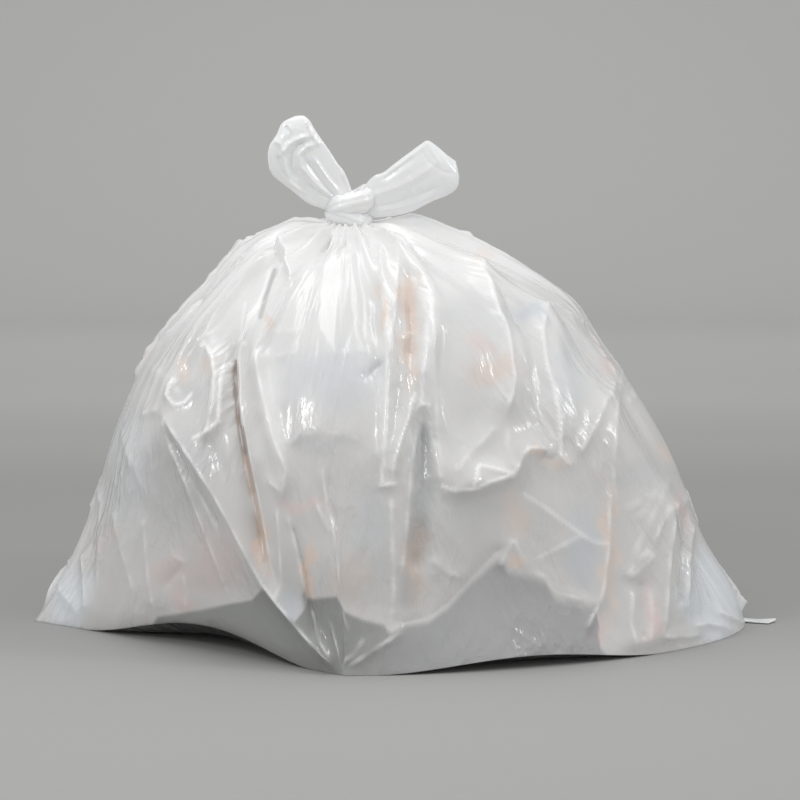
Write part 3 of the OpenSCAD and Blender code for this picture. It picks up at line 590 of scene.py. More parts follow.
# Creases on the ears, in the same form as those on the front of the body
LEFT_EAR_CREASES = [
    (3.5, 4, 3, [(-78, 411), (-88, 409), (-98, 404), (-104, 395), (-102, 382), (-97, 370), (-84, 360)]),
    (-4, 4, 3, [(-84, 405), (-91, 403), (-96, 395), (-96, 384), (-91, 373)]),
    (3, 4, 4, [(-74, 404), (-84, 401), (-90, 394), (-88, 384), (-76, 370), (-62, 358)]),
    (-3, 3, 4, [(-108, 394), (-104, 381), (-97, 371)]),
    (-3, 3, 3, [(-85, 391), (-76, 379), (-68, 369), (-58, 358)]),
    (2.5, 3, 3, [(-78, 393), (-70, 381), (-62, 370), (-54, 360)]),
    (-2.5, 3, 3, [(-82, 370), (-73, 363), (-62, 356)]),
    (3, 3, 3, [(-53, 380), (-49, 371), (-46, 362)]),
    (-2, 3, 3, [(-102, 420), (-97, 412), (-99, 405)]),
    (2, 3, 4, [(-112, 407), (-106, 404), (-103, 396)]),
    (2, 3, 3, [(-84, 426), (-80, 414), (-72, 402)]),
]
RIGHT_EAR_CREASES = [
    (3, 4, 4, [(-16, 379), (-2, 389), (10, 398), (18, 404)]),
    (-2.5, 4, 4, [(-20, 372), (-6, 382), (8, 392)]),
    (2.5, 6, 5, [(-32, 358), (-14, 364), (4, 372), (20, 382), (30, 392)]),
    (2.5, 3, 3, [(3, 377), (5, 366), (8, 358)]),
    (-2, 5, 4, [(-26, 350), (-8, 354), (10, 360), (30, 368)]),
    (2, 4, 4, [(-24, 346), (-8, 348), (8, 352), (26, 360)]),
    (2, 3, 3, [(19, 406), (24, 396), (31, 387)]),
    (-1.5, 3, 3, [(14, 398), (20, 388), (32, 380), (42, 378)]),
]
# The ears' thickness, its share at the thickest place, what it loses along the ear's whole
# length, and the share of the length where that place is
EAR_THICKNESS = 0.009
EAR_SWELL = 0.95
EAR_LOSS = 0.3
EAR_THICKEST = 0.35
# The ears' film, and the white of their rims, ends and film at the knot, which is also the painted
# highlight on their crests
EAR_TINT = (0.95, 0.965, 0.97)
EAR_WHITE_AND_HIGHLIGHT = (0.99, 0.99, 0.99)
EAR_ALONG = 110
EAR_ACROSS = 70
# How far an ear bends towards the viewer, and how far round that bend goes
EAR_BOW = 0.012
EAR_BEND = 0.9 * math.pi
# How full an ear stays towards its two edges, the share of its length over which it thins out
# to its end, and the shares over which the rim, the end and the film at the knot are whiter
EAR_FULLNESS = 0.6
EAR_END = 0.35
EAR_WHITE_RIM = 0.5
EAR_WHITE_END = 0.05
EAR_WHITE_KNOT = 0.3
# The back sheet carries the front sheet's creases the other way round, and lower
BACK_SHEET_SHARE = -0.7
# Crumpled facets on the ears: rise, and size across and up
EAR_CRUMPLE = 0.6 * MM
EAR_FACETS = (0.018, 0.022)
# The ears: name, edges, creases, share of the creases' rise, seed and share of the bend
EARS = [
    ("left_ear", LEFT_EAR_EDGES, LEFT_EAR_CREASES, 0.6, 31, 0.6),
    ("right_ear", RIGHT_EAR_EDGES, RIGHT_EAR_CREASES, 0.3, 41, 0.5),
]

# The turns of the knot: name, middle from the top of the neck, half sizes across and deep,
# rise to one side and in waves, width, number of pleats and twist
KNOT_TURNS = [
    ("knot_upper_turn", (0.002, 0, 0.016), (0.014, 0.0115), (0.0055, 0.001), 0.0165, 9, 2),
    ("knot_lower_turn", (0, 0, 0.005), (0.0135, 0.0120), (-0.0030, 0.001), 0.0140, 8, -3),
]
TURN_STEPS = 120
TURN_AROUND = 64
# A turn is narrower across than it is high
TURN_SHAPE = (0.85, 1.15)
# How its width changes along it: size, waves and start
TURN_WAVES = [(0.10, 2, 0.6), (0.06, 5, 0)]
# Its pleats: depth, sharpness, the share that lies below the width, how far they wander, and in
# how many waves
TURN_PLEATS = (0.10, 0.7, 0.6)
TURN_WANDER = (0.8, 3)
# The knot's core: half sizes, the height of its middle above the neck, and its steps
CORE_SIZE = (0.014, 0.012, 0.018)
CORE_HEIGHT = 0.010
CORE_STEPS = 40
# The core's pleats: depth, number and twist
CORE_PLEATS = (0.07, 7, 3)
KNOT_TINT = (0.95, 0.955, 0.96)

# The strip's lower and upper film above the floor, and its steps along and across
STRIP_LOWER = 0.0008
STRIP_UPPER = 0.0019
STRIP_STEPS = (40, 14)
# Its end is cut at a slant and it narrows towards it, by these shares. It lies in a wave along
# and across, and its far corner curls up.
STRIP_SLANT = 0.12
STRIP_NARROWS = 0.08
STRIP_RIPPLE = 0.0006
STRIP_WAVES = (5, 2)
STRIP_CURL = 0.0010

# Settings of the film's shader
FILM_SHADER = {
    "Subsurface Weight": 0.3,
    "Subsurface Radius": (0.9, 0.8, 0.7),
    "Subsurface Scale": 0.006,
    "IOR": 1.5,
    "Coat Weight": 0.4,
    "Coat Roughness": 0.09,
}
# Crinkles: their depth, the share of the finer wrinkles in them, how they are drawn out up the
# film, and how far they wander
CRINKLE_DEPTH = 0.0034
WRINKLE_SHARE = 0.35
CRINKLE_STRETCH = (1, 0.45, 1)
CRINKLE_WANDER = 0.012
# A slow noise over the film, and how it, or the place up the film in metres, sets the strength
# of the crinkles and the roughness: from this range to that
CRINKLE_BY_NOISE = ((0.42, 0.68), (0.10, 1.0))
CRINKLE_BY_HEIGHT = ((0.15, 0.27), (0.75, 0.22))
ROUGHNESS_BY_NOISE = ((0.35, 0.70), (0.36, 0.15))

# Shades of grey of the sheet, from the front to the back: place and shade. The darker band beside and
# behind the bag is a painted shadow of the bag.
SHEET_GREYS_AND_SHADOW = [
    (-0.60, 0.41), (-0.25, 0.42), (0.10, 0.34), (0.70, 0.32), (1.10, 0.36), (1.60, 0.41), (2.40, 0.46),
]
# The share of blue in them
SHEET_WARMTH = 0.985
SHEET_ROUGHNESS = 0.75
# Where the sheet begins, where it curves up, the radius of the curve, its top and half width
SHEET_NEAR = -3.4
SHEET_FAR = 2.6
SHEET_RADIUS = 0.9
SHEET_TOP = 3.2
SHEET_HALF = 4.2
SHEET_STEPS = 24
# Lamps: name, place, target, size and power. The last lights only the sheet behind the bag.
LAMPS = [
    ("top", (-0.25, -0.1, 1.9), (0, 0, 0.1), (1.2, 0.8), 8),
    ("key", (-1.3, -1.5, 1.6), (0, 0, 0.15), (0.28, 0.28), 7),
    ("side", (1.7, -0.6, 1.3), (0, 0, 0.15), (0.25, 0.4), 5),
    ("behind", (0, 1.2, 2.0), (0, 3.4, 0.8), (2.4, 0.8), 18),
]
WORLD_STRENGTH = 0.66


def clamp(values, low=0.0, high=1.0):
    return np.minimum(np.maximum(values, low), high)


def smooth(values):
    """Runs from 0 to 1 as the values do, with a soft start and end."""
    held = clamp(values)
    return held * held * (3 - 2 * held)


def ramp(values, start, run):
    """Runs softly from 0 at the start to 1 after the run."""
    return smooth((values - start) / run)


def wave(bearing, low, waves, start):
    """Runs between low and 1, in so many waves round the bag."""
    return (1 + low) / 2 + (1 - low) / 2 * np.sin(np.radians(waves * bearing + start))


def along(points, share):
    """A smooth curve through a list of values, at shares from 0 to 1."""
    values = np.asarray(points, float)
    last = len(values) - 1
    place = clamp(share, 0, 0.999999) * last
    i = np.floor(place).astype(int)
    g = (place - i)[..., None]
    a, b = values[np.maximum(i - 1, 0)], values[i]
    c, d = values[i + 1], values[np.minimum(i + 2, last)]
    return 0.5 * (2 * b + (c - a) * g + (2 * a - 5 * b + 4 * c - d) * g ** 2
                  + (3 * b - a - 3 * c + d) * g ** 3)


def edge_height(bearing):
    """The height of the bottom edge, which lifts in arches."""
    height = np.zeros_like(bearing)
    for middle, half, share in ARCHES:
        off = np.abs(bearing % 360 - middle)
        height = np.maximum(height, share * np.cos(np.radians(90 * clamp(off / half))) ** 2)
    return EDGE_LIFT * height


def smooth_wall(bearing, level):
    """The wall of the bag before any fold."""
    c, s = np.cos(np.radians(bearing)), np.sin(np.radians(bearing))
    left, front = (c < 0)[..., None], (s < 0)[..., None]
    side = np.where(left, along(LEFT_PROFILE, level), along(RIGHT_PROFILE, level))
    face = np.where(front, along(FRONT_PROFILE, level), along(BACK_PROFILE, level))
    tip = np.where(c < 0, LEFT_TIP, RIGHT_TIP)
    side_reach = NECK_RADIUS + side[..., 0] * (tip - NECK_RADIUS)
    face_reach = NECK_RADIUS + face[..., 0] * (FACE_TIP - NECK_RADIUS)
    quarter = np.floor(bearing / 90).astype(int) % 4
    power = 1 + (EDGE_PULL[quarter] - 1) * (1 - clamp(level / PULL_RUN)) ** 2
    height = (side[..., 1] * c * c + face[..., 1] * s * s) * NECK_HEIGHT
    return np.stack([
        np.sign(c) * np.abs(c) ** power * side_reach - NECK_SHIFT,
        np.sign(s) * np.abs(s) ** power * face_reach,
        height + edge_height(bearing) * (1 - level) ** ARCH_FADE,
    ], -1)


def outward(bearing, level):
    """The direction in which a fold rises from the wall."""
    lean = np.radians(LEAN_LOW + (LEAN_HIGH - LEAN_LOW) * level ** 2)
    a = np.radians(bearing)
    return np.stack([np.cos(a) * np.cos(lean), np.sin(a) * np.cos(lean), np.sin(lean)], -1)


def wandering(bearing, level):
    """Columns wander a little between the bottom edge and the neck."""
    drift = sum(size * np.sin(np.radians(waves * bearing + start)) for size, waves, start in WANDER)
    return bearing + smooth(level / WANDER_RUN) * drift


def to_film(bearing, level):
    """The place on the film, in metres across it and up it."""
    return np.stack([np.asarray(bearing) / CELL_BEARING * CELL, np.asarray(level) / CELL_LEVEL * CELL], -1)


def front_view(points):
    """Places in the upright picture plane through the origin, as the camera sees them."""
    depth = CAMERA_AWAY + points[..., 1] * math.cos(CAMERA_HIGH) - points[..., 2] * math.sin(CAMERA_HIGH)
    up = points[..., 2] * math.cos(CAMERA_HIGH) + points[..., 1] * math.sin(CAMERA_HIGH)
    return np.stack([points[..., 0], up], -1) * (CAMERA_AWAY / depth)[..., None]


# The grid: the bearing at which each column starts, and each point's level, bearing, place on
# the smooth wall and place on the film
START = np.arange(COLUMNS)[:, None] * 360 / COLUMNS * np.ones((1, ROWS + 1))
LEVEL = np.arange(ROWS + 1)[None, :] / ROWS * np.ones((COLUMNS, 1))
BEARING = wandering(START, LEVEL)
UNCENTRED = smooth_wall(BEARING, LEVEL)
CENTRE_Y = -(UNCENTRED[..., 1].min() + UNCENTRED[..., 1].max()) / 2
WALL = UNCENTRED + np.array([0, CENTRE_Y, 0])
WALL_FILM = to_film(BEARING, LEVEL)
FACES_FRONT = (BEARING % 360 >= FRONT_FROM) & (BEARING % 360 <= FRONT_TO)
MIDDLE = np.array([-NECK_SHIFT, CENTRE_Y])
NECK_TOP = np.array([-NECK_SHIFT, CENTRE_Y, NECK_HEIGHT])


def clear_of_ends(foot_run, neck_run, held=HELD_LEVEL):
    """1 over the film, which runs out to 0 at the bottom edge and below the knot."""
    return smooth(LEVEL / foot_run) * smooth((held - LEVEL) / neck_run)


def in_steps(points):
    """The points of a line in the front view, and more between them where they lie far apart."""
    points = np.array(points, float)
    stops = [points[:1]]
    for a, b in zip(points[:-1], points[1:]):
        pieces = max(1, round(np.hypot(*(b - a)) / LINE_STEP))
        stops.append(a + (b - a) * np.arange(1, pieces + 1)[:, None] / pieces)
    return np.concatenate(stops)


def seen_place(spot, seen):
    """The place on the film that is seen at a spot of the front view. Seen are the places of
    the grid points in that view."""
    far = np.where(FACES_FRONT, np.hypot(seen[..., 0] - spot[0], seen[..., 1] - spot[1]), math.inf)
    i, j = np.unravel_index(np.argmin(far), far.shape)
    beside, above = (i + 1) % COLUMNS, min(j + 1, ROWS)
    below = above - 1
    # From the nearest grid point on to the exact place
    across, up = seen[beside, j] - seen[i, j], seen[i, above] - seen[i, below]
    steps = np.linalg.lstsq(np.column_stack([across, up]), spot - seen[i, j], rcond=EDGE_ON)[0]
    steps = np.clip(steps, -1, 1)
    place = WALL_FILM[i, j] + steps[0] * np.array([TURN / COLUMNS, 0])
    return place + steps[1] * (WALL_FILM[i, above] - WALL_FILM[i, below])


def seen_line(points, seen):
    """A line on the film, from points in the front view."""
    line = np.array([seen_place(spot, seen) for spot in in_steps(points) * MM])
    line[:, 0] -= np.round((line[:, 0] - line[0, 0]) / TURN) * TURN
    return line


def film_line(points):
    """A line on the film, from points of bearing and level."""
    return np.array([to_film(bearing, level) for bearing, level in points])


def near_line(film, line, reach, turn=TURN):
    """The grid points within reach of a line: their places in the grid, the way from each to
    the line, how long it is, the side of the line and the share of its length."""
    x = film[..., 0] + np.round((line[:, 0].mean() - film[..., 0]) / turn) * turn
    y = film[..., 1]
    low, high = line.min(0) - reach, line.max(0) + reach
    near = np.nonzero((x > low[0]) & (x < high[0]) & (y > low[1]) & (y < high[1]))
    x, y = x[near], y[near]
    steps = np.maximum(np.hypot(*(line[1:] - line[:-1]).T), 1e-6)
    total = steps.sum()
    best = np.full(x.shape, math.inf)
    way = np.zeros(x.shape + (2,))
    side = np.ones(x.shape)
    share = np.zeros(x.shape)
    done = 0.0
    for a, b, step in zip(line[:-1], line[1:], steps):
        run = b - a
        f = clamp(((x - a[0]) * run[0] + (y - a[1]) * run[1]) / step ** 2)
        gap_x, gap_y = x - a[0] - run[0] * f, y - a[1] - run[1] * f
        gap = np.hypot(gap_x, gap_y)
        nearer = gap < best
        best = np.where(nearer, gap, best)
        way = np.where(nearer[:, None], np.stack([-gap_x, -gap_y], -1), way)
        side = np.where(nearer, np.sign(run[0] * gap_y - run[1] * gap_x), side)
        share = np.where(nearer, (done + step * f) / total, share)
        done += step
    return near, way, best, side, share


def towards_lines(film, lines, reach):
    """The moves that take the grid points close to a crease onto it, so that it runs clean."""
    moves = np.zeros(film.shape)
    nearest = np.full(film.shape[:2], reach)
    for line in lines:
        near, way, gap, _, _ = near_line(film, line, reach)
        closer = gap < nearest[near]
        spot = (near[0][closer], near[1][closer])
        nearest[spot] = gap[closer]
        part = clamp((CATCH_END - gap[closer] / reach) / (CATCH_END - CATCH_FULL))
        moves[spot] = way[closer] * part[:, None]
    return moves


def crest_highlight(rise, line, gap, ends, share):
    """How strong the painted highlight on a crest is, which is uneven along it."""
    chord = np.hypot(*(line[-1] - line[0]))
    uneven = CREST_EVEN + (1 - CREST_EVEN) * np.sin(CREST_WAVES * (share + line[0].sum()) * chord)
    close = clamp(CREST_GAIN * (1 - gap / CREST_HIGHLIGHT_REACH))
    return close * ends * clamp(rise / FULL_CREST_RISE, LEAST_CREST, 1) * uneven


class Relief:
    """What creases add to a film: its rise, how firmly it is held, and the painted highlights on its
    crests.
    """

    def __init__(self, film):
        self.film = film
        self.push = np.zeros(film.shape[:2])
        self.hold = np.zeros(film.shape[:2])
        self.crest = np.zeros(film.shape[:2])

    def lump(self, rise, half, line):
        """Adds a rounded rise about a very short line."""
        near, _, gap, _, _ = near_line(self.film, line, half * MM)
        self.push[near] += rise * MM * np.cos(math.pi / 2 * clamp(gap / (half * MM))) ** 2

    def crease(self, rise, left, right, line, sharp=CREASE_SHARP):
        """Adds a ridge along a line, or a valley where the rise is negative."""
        least = LEAST_RUN * abs(rise)
        left, right = max(left, least) * MM, max(right, least) * MM
        near, _, gap, side, share = near_line(self.film, line, max(left, right))
        ends = smooth(np.minimum(share, 1 - share) / TAPER)
        height = clamp(1 - gap / np.where(side > 0, right, left)) ** sharp
        height *= END_HEIGHT + (1 - END_HEIGHT) * ends
        self.push[near] += rise * MM * height
        held = ramp(height, *HOLD) * min(1, abs(rise) / FULL_HOLD_RISE)
        self.hold[near] = np.maximum(self.hold[near], held)
        # A ridge's crest gets a painted highlight
        if rise > 0:
            self.crest[near] = np.maximum(self.crest[near], crest_highlight(rise, line, gap, ends, share))


def facets(film, seed, across, up):
    """Random heights, from -1 to 1, joined by flat facets with sharp edges, as in crumpled
    film. The facets are about so large across the film and up it."""
    dice = np.random.default_rng(seed)
    columns, rows = round(TURN / across), math.ceil(FILM_HEIGHT / up)
    i, j = np.meshgrid(np.arange(-2, columns + 3), np.arange(-1, rows + 1), indexing="ij")
    jitter = dice.uniform(-FACET_JITTER, FACET_JITTER, (columns, rows + 2, 2))[i % columns, j]
    heights = dice.uniform(-1, 1, (columns, rows + 2))[i % columns, j].ravel()
    step = TURN / columns
    corners = np.stack([(i + jitter[..., 0] + 0.5 * (j % 2)) * step, (j + jitter[..., 1]) * up], -1)
    corners = corners.reshape(-1, 2)
    # The triangles are chosen where the facets are as high as they are wide
    even = [Vector((x, y * across / up)) for x, y in corners]
    _, _, triangles, _, _, _ = delaunay_2d_cdt(even, [], [], 0, 1e-7)
    x, y = film[..., 0].ravel() % TURN, film[..., 1].ravel()
    order = np.argsort(x)
    x, y = x[order], y[order]
    value = np.zeros(x.size)
    for a, b, c in triangles:
        first, last = np.searchsorted(x, (corners[[a, b, c], 0].min(), corners[[a, b, c], 0].max()))
        if first == last:
            continue
        side, other = corners[b] - corners[a], corners[c] - corners[a]
        dx, dy = x[first:last] - corners[a, 0], y[first:last] - corners[a, 1]
        area = side[0] * other[1] - other[0] * side[1]
        f = (dx * other[1] - dy * other[0]) / area
        g = (dy * side[0] - dx * side[1]) / area
        inside = (f >= -1e-6) & (g >= -1e-6) & (f + g <= 1 + 1e-6)
        rise = heights[a] + (heights[b] - heights[a]) * f + (heights[c] - heights[a]) * g
        value[order[first:last][inside]] = rise[inside]
    return value.reshape(film.shape[:2])


def draw_tight(points, hold):
    """Draws the film tight between the points that hold it, as a stretched film lies."""
    loose = ((1 - clamp(hold)) * clear_of_ends(foot_run=0.03, neck_run=0.06))[..., None]
    for _ in range(TIGHT_ROUNDS):
        mean = (np.roll(points, 1, 0) + np.roll(points, -1, 0)) / 4
        mean[:, 1:-1] += (points[:, 2:] + points[:, :-2]) / 4
        mean[:, 0] += points[:, 0] / 2
        mean[:, -1] += points[:, -1] / 2
        points = points + loose * (mean - points)
    return points


def long_pleats(dice):
    """Long pleats that run down from the knot."""
    for bearing in PLEAT_BEARINGS:
        low = dice.uniform(*PLEAT_FOOT)
        drift = dice.normal(0, PLEAT_DRIFT)
        bearing = bearing + dice.uniform(*PLEAT_STRAY)
        line = [(bearing + drift * f ** 2, PLEAT_TOP - (PLEAT_TOP - low) * f) for f in PLEAT_STOPS]
        rise = dice.uniform(*PLEAT_RISE) * (1 if dice.uniform() < PLEAT_RIDGES else -1)
        left, right = (dice.uniform(*reach) for reach in PLEAT_REACH)
        yield rise, left, right, film_line(line)


def tension_creases(dice):
    """Creases that run to the two corners and to the middle of the back edge."""
    for foot, low, high in TENSION_FEET:
        for _ in range(TENSION_CREASES):
            top = dice.uniform(low, high)
            level = dice.uniform(*TENSION_TOP)
            line = [(top + (foot - top) * f ** TENSION_BEND, level * (1 - f)) for f in TENSION_STOPS]
            rise = dice.uniform(*TENSION_RISE)
            left, right = dice.uniform(*TENSION_REACH), dice.uniform(*TENSION_REACH)
            yield rise, left, right, film_line(line)


def short_creases(dice):
    """Short creases that lie this way and that."""
    for _ in range(SHORT_CREASES):
        bearing, level = dice.uniform(*SHORT_BEARINGS), dice.uniform(*SHORT_LEVELS)
        length = dice.uniform(*SHORT_LENGTH)
        angle = dice.normal(0, SHORT_TURN)
        bend = dice.normal(0, SHORT_BEND)
        line = []
        for f in SHORT_STOPS:
            turn = angle + bend * f
            line.append((
                bearing + math.sin(turn) * f * length / CELL * CELL_BEARING,
                level + SHORT_LIFT - math.cos(turn) * f * length / CELL * CELL_LEVEL,
            ))
        rise = dice.uniform(*SHORT_RISE) * (1 if dice.uniform() < SHORT_RIDGES else -1)
        left, right = dice.uniform(*SHORT_REACH), dice.uniform(*SHORT_REACH)
        yield rise, left, right, film_line(line)


def back_creases():
    """Creases of the sides and the back, in the manner of those on the front."""
    dice = np.random.default_rng(BACK_SEED)
    return [*long_pleats(dice), *tension_creases(dice), *short_creases(dice)]


def front_creases(push):
    """The creases of the front, each where the camera sees it on the relief given by push."""
    rows = []
    for rise, left, right, points in FRONT_CREASES:
        rise *= CREASE_SHARE
        seen = front_view(WALL + outward(BEARING, LEVEL) * (push + rise * MM)[..., None])
        rows.append((rise, left, right, seen_line(points, seen)))
    return rows


def broad_push(film):
    """The broad relief of the contents and the main folds."""
    relief = Relief(film)
    for rise, half, bearing, level in LUMPS:
        relief.lump(rise, half, film_line([(bearing, level), (bearing, level + LUMP_LINE)]))
    for share, width, points in FOLDS:
        width *= FOLD_REACH
        relief.crease(FOLD_SHARE * FOLD_RISE * share, width, width, film_line(points), FOLD_SHARP)
    return relief.push


def gather_push():
    """The gathers that fan out from the knot and run out at different levels."""
    size = wave(BEARING, *GATHER_SIZE_WAVE)
    begin = 1 - GATHER_RUN * wave(BEARING, *GATHER_RUN_WAVE)
    crest = wave(START, 0, -GATHERS, 90) ** GATHER_SHARP - GATHER_BELOW
    grow = ramp(LEVEL, begin, GATHER_FULL - begin)
    ease = 1 - GATHER_LOSS * ramp(LEVEL, *GATHER_EASE)
    calm = np.zeros(LEVEL.shape)
    for middle, half, share in CALM_PLACES:
        off = np.abs((BEARING - middle + 180) % 360 - 180)
        calm = np.maximum(calm, share * (1 - ramp(off, half, CALM_EDGE)))
    calm *= 1 - ramp(LEVEL, *CALM_TOP)
    return GATHER_RISE * MM * crest * size * grow * ease * (1 - calm)


def crumple_push(film):
    """The crumple of the film between its creases."""
    crumple = sum(rise * MM * facets(film, seed, across, up) for rise, seed, across, up in CRUMPLES)
    ease = 1 - CRUMPLE_LOSS * ramp(LEVEL, *CRUMPLE_EASE)
    return crumple * ease * clear_of_ends(foot_run=0.05, neck_run=0.08, held=0.98)


def film_body():
    """The points of the film from the bottom edge to the neck, their places on the flat film,
    and how strong the painted highlight on their crests is."""
    free = clear_of_ends(foot_run=0.06, neck_run=0.07)
    gathers = gather_push()
    creases = front_creases(broad_push(WALL_FILM) * free + gathers) + back_creases()
    moves = towards_lines(WALL_FILM, [row[3] for row in creases], CATCH_REACH)
    film = WALL_FILM + moves * clear_of_ends(foot_run=0.02, neck_run=0.03)[..., None]
    relief = Relief(film)
    for row in creases:
        relief.crease(*row)
    push = (broad_push(film) + relief.push) * free + gathers
    bearing, level = film[..., 0] / CELL * CELL_BEARING, clamp(film[..., 1] / CELL * CELL_LEVEL)
    points = smooth_wall(bearing, level) + outward(bearing, level) * push[..., None]
    points[..., 1] += CENTRE_Y
    points = draw_tight(points, relief.hold * free)
    points = points + outward(bearing, level) * crumple_push(film)[..., None]
    return points, film, relief.crest * free


def mix(colour, tint, share):
    """Mixes a tint into a colour, by a share for each point."""
    share = np.asarray(share)[..., None]
    return colour * (1 - share) + np.asarray(tint) * share


def ragged(seen):
    """Places in the front view, moved in waves so that a shape drawn there gets ragged edges."""
    across, up = seen[..., 0], seen[..., 1]
    off_across = sum(size * np.sin(up / first + across / second) for size, first, second in RAGGED_ACROSS)
    off_up = sum(size * np.sin(across / first + up / second) for size, first, second in RAGGED_UP)
    return across + off_across, up + off_up


def add_patches_light_and_shade(colour, seen):
    """Adds the soft tints of the contents, and patches of painted light and of painted shadow."""
    x, y = ragged(seen)
    for across, up, half_across, half_up, tint, strength in PATCHES_WITH_LIGHT_AND_SHADE:
        gap = np.hypot((x - across) / half_across, (y - up) / half_up)
        colour = mix(colour, TINTS_SHADES_AND_HIGHLIGHTS[tint], strength * (1 - ramp(gap, *PATCH_EDGE)))
    return colour


def add_line_tints_shade_and_highlights(colour, seen):
    """Adds the narrow tints along some creases: painted shade, painted highlights and tan ground seen
    through.
    """
    for tint, strength, half, line in LINES_OF_TINT_SHADE_AND_HIGHLIGHT:
        near, _, gap, _, _ = near_line(seen, np.array(line, float), half, NO_TURN)
        colour[near] = mix(colour[near], TINTS_SHADES_AND_HIGHLIGHTS[tint], strength * smooth(LINE_GAIN * (1 - gap / half)))
    return colour


def add_gap_shade(colour, seen):
    """Adds the painted shade of the hollow between the contents and the floor."""
    across, up = seen[..., 0], seen[..., 1]
    ends_across, ends_up = np.array(CONTENTS_END, float).T
    below = np.interp(across, ends_across, ends_up) - up
    tint = mix(np.array(GAP_SHADE_LEFT), GAP_SHADE_RIGHT, np.interp(across, GAP_TURN, (0, 1)))
    return mix(colour, tint, GAP_SHADE_STRENGTH * smooth(below / np.interp(across, GAP_TURN, GAP_SOFT)))


def film_colour(points, crest):
    """The film's colour, with what shows through it and with painted light and shade. The back has
    the same patches as the front, turned round and shifted. Crests get a painted highlight."""
    behind = ramp(points[..., 1], *FRONT_END)
    sides = []
    for is_back in (False, True):
        spot = points * np.array([1, -1, 1]) + np.array([BACK_SHIFT, 0, 0]) if is_back else points
        seen = front_view(spot) / MM
        colour = mix(np.array(LOW_WHITE), WHITE, ramp(spot[..., 2], *LOW_WHITE_END))
        colour = add_patches_light_and_shade(colour, seen)
        if not is_back:
            colour = add_line_tints_shade_and_highlights(colour, seen)
        # The hollow low on the bag gets its painted shade
        sides.append(add_gap_shade(colour, seen))
    # The crests get a painted highlight
    return mix(mix(sides[0], sides[1], behind), CREST_HIGHLIGHT, CREST_HIGHLIGHT_SHARE * crest)


def from_front_view(places, toward):
    """Points that are seen at these places of the front view, so far towards the viewer of the
    upright plane through the neck."""
    across, up = places[..., 0], places[..., 1]
    y = CENTRE_Y - toward
    slope_up, slope_out = math.sin(CAMERA_HIGH), math.cos(CAMERA_HIGH)
    lift = up * (CAMERA_AWAY + y * slope_out) / CAMERA_AWAY - y * slope_up
    z = lift / (slope_out + up * slope_up / CAMERA_AWAY)
    depth = CAMERA_AWAY + y * slope_out - z * slope_up
    return np.stack([across * depth / CAMERA_AWAY, y, z], -1)


def add_object(name, data):
    piece = bpy.data.objects.new(name, data)
    bpy.context.scene.collection.objects.link(piece)
    return piece


def add_mesh(name, points, faces):
    mesh = bpy.data.meshes.new(name)
    mesh.from_pydata([tuple(p) for p in points], [], faces)
    mesh.update()
    mesh.shade_smooth()
    return add_object(name, mesh)


def paint(piece, colours):
    """Stores a colour for each point of a piece, which its material reads."""
    attribute = piece.data.attributes.new("tint", "FLOAT_COLOR", "POINT")
    values = np.ones((len(piece.data.vertices), 4), np.float32)
    values[:, :3] = colours
    attribute.data.foreach_set("color", values.ravel())


def lay_film(piece, places):
    """Stores each point's place on the flat film, which carries the fine crinkles."""
    attribute = piece.data.attributes.new("film", "FLOAT_VECTOR", "POINT")
    values = np.zeros((len(piece.data.vertices), 3), np.float32)
    values[:, :2] = places
    attribute.data.foreach_set("vector", values.ravel())


def grid_corners(columns, rows, round_columns=False, round_rows=False):
    """The four corners of each gap of a grid of points, column after column. The grid may close
    round on itself either way."""
    i = np.arange(columns if round_columns else columns - 1)
    j = np.arange(rows if round_rows else rows - 1)
    i, j = (part.ravel() for part in np.meshgrid(i, j, indexing="ij"))
    k, m = (i + 1) % columns, (j + 1) % rows
    return np.stack([i * rows + j, k * rows + j, k * rows + m, i * rows + m])


def split_quads(points, corners):
    """Two triangles for each four-sided gap, split along its shorter diagonal."""
    a, b, c, d = corners
    straight = np.linalg.norm(points[a] - points[c], axis=1) < np.linalg.norm(points[b] - points[d], axis=1)
    first = np.where(straight[:, None], np.stack([a, b, c], 1), np.stack([a, b, d], 1))
    second = np.where(straight[:, None], np.stack([a, c, d], 1), np.stack([b, c, d], 1))
    return np.concatenate([first, second]).tolist()


def shell_faces(columns, rows):
    """Faces of a thin shell: two grids of points, one after the other, and the rim between."""
    a, b, c, d = grid_corners(columns, rows)
    count = columns * rows
    faces = np.stack([a, d, c, b], 1).tolist() + (np.stack([a, b, c, d], 1) + count).tolist()
    grid = np.arange(count).reshape(columns, rows)
    rim = np.concatenate([grid[0, :-1], grid[:-1, -1], grid[-1, :0:-1], grid[:0:-1, 0]])
    ahead = np.roll(rim, -1)
    return faces + np.stack([rim, count + rim, count + ahead, ahead], 1).tolist()


def under_rings(edge):
    """Three rings of the underside: on the floor, on the way up to the bottom edge, and next
    to that edge."""
    arm = edge[:, :2] - MIDDLE
    reach = np.linalg.norm(arm, axis=1, keepdims=True)
    margin = BOTTOM_MARGIN + MARGIN_SLOPE * edge[:, 2:]
    inner = arm * np.maximum(LEAST_FLOOR, 1 - margin / reach) + MIDDLE
    floor_ring = np.column_stack([inner, np.zeros(len(edge))])
    rising = edge * RISING_OUT + floor_ring * (1 - RISING_OUT)
    rising[:, 2] = edge[:, 2] * RISING_UP
    lip = edge * LIP + floor_ring * (1 - LIP)
    return np.stack([floor_ring, rising, lip], axis=1)


def shared_normals(rings):
    """The normals of the whole body, which both halves keep, so that no seam shows."""
    points = rings.reshape(-1, 3)
    whole = add_mesh("whole", points, split_quads(points, grid_corners(*rings.shape[:2], True)))
    normals = np.empty(points.size, np.float32)
    whole.data.vertex_normals.foreach_get("vector", normals)
    bpy.data.objects.remove(whole)
    return normals.reshape(rings.shape)


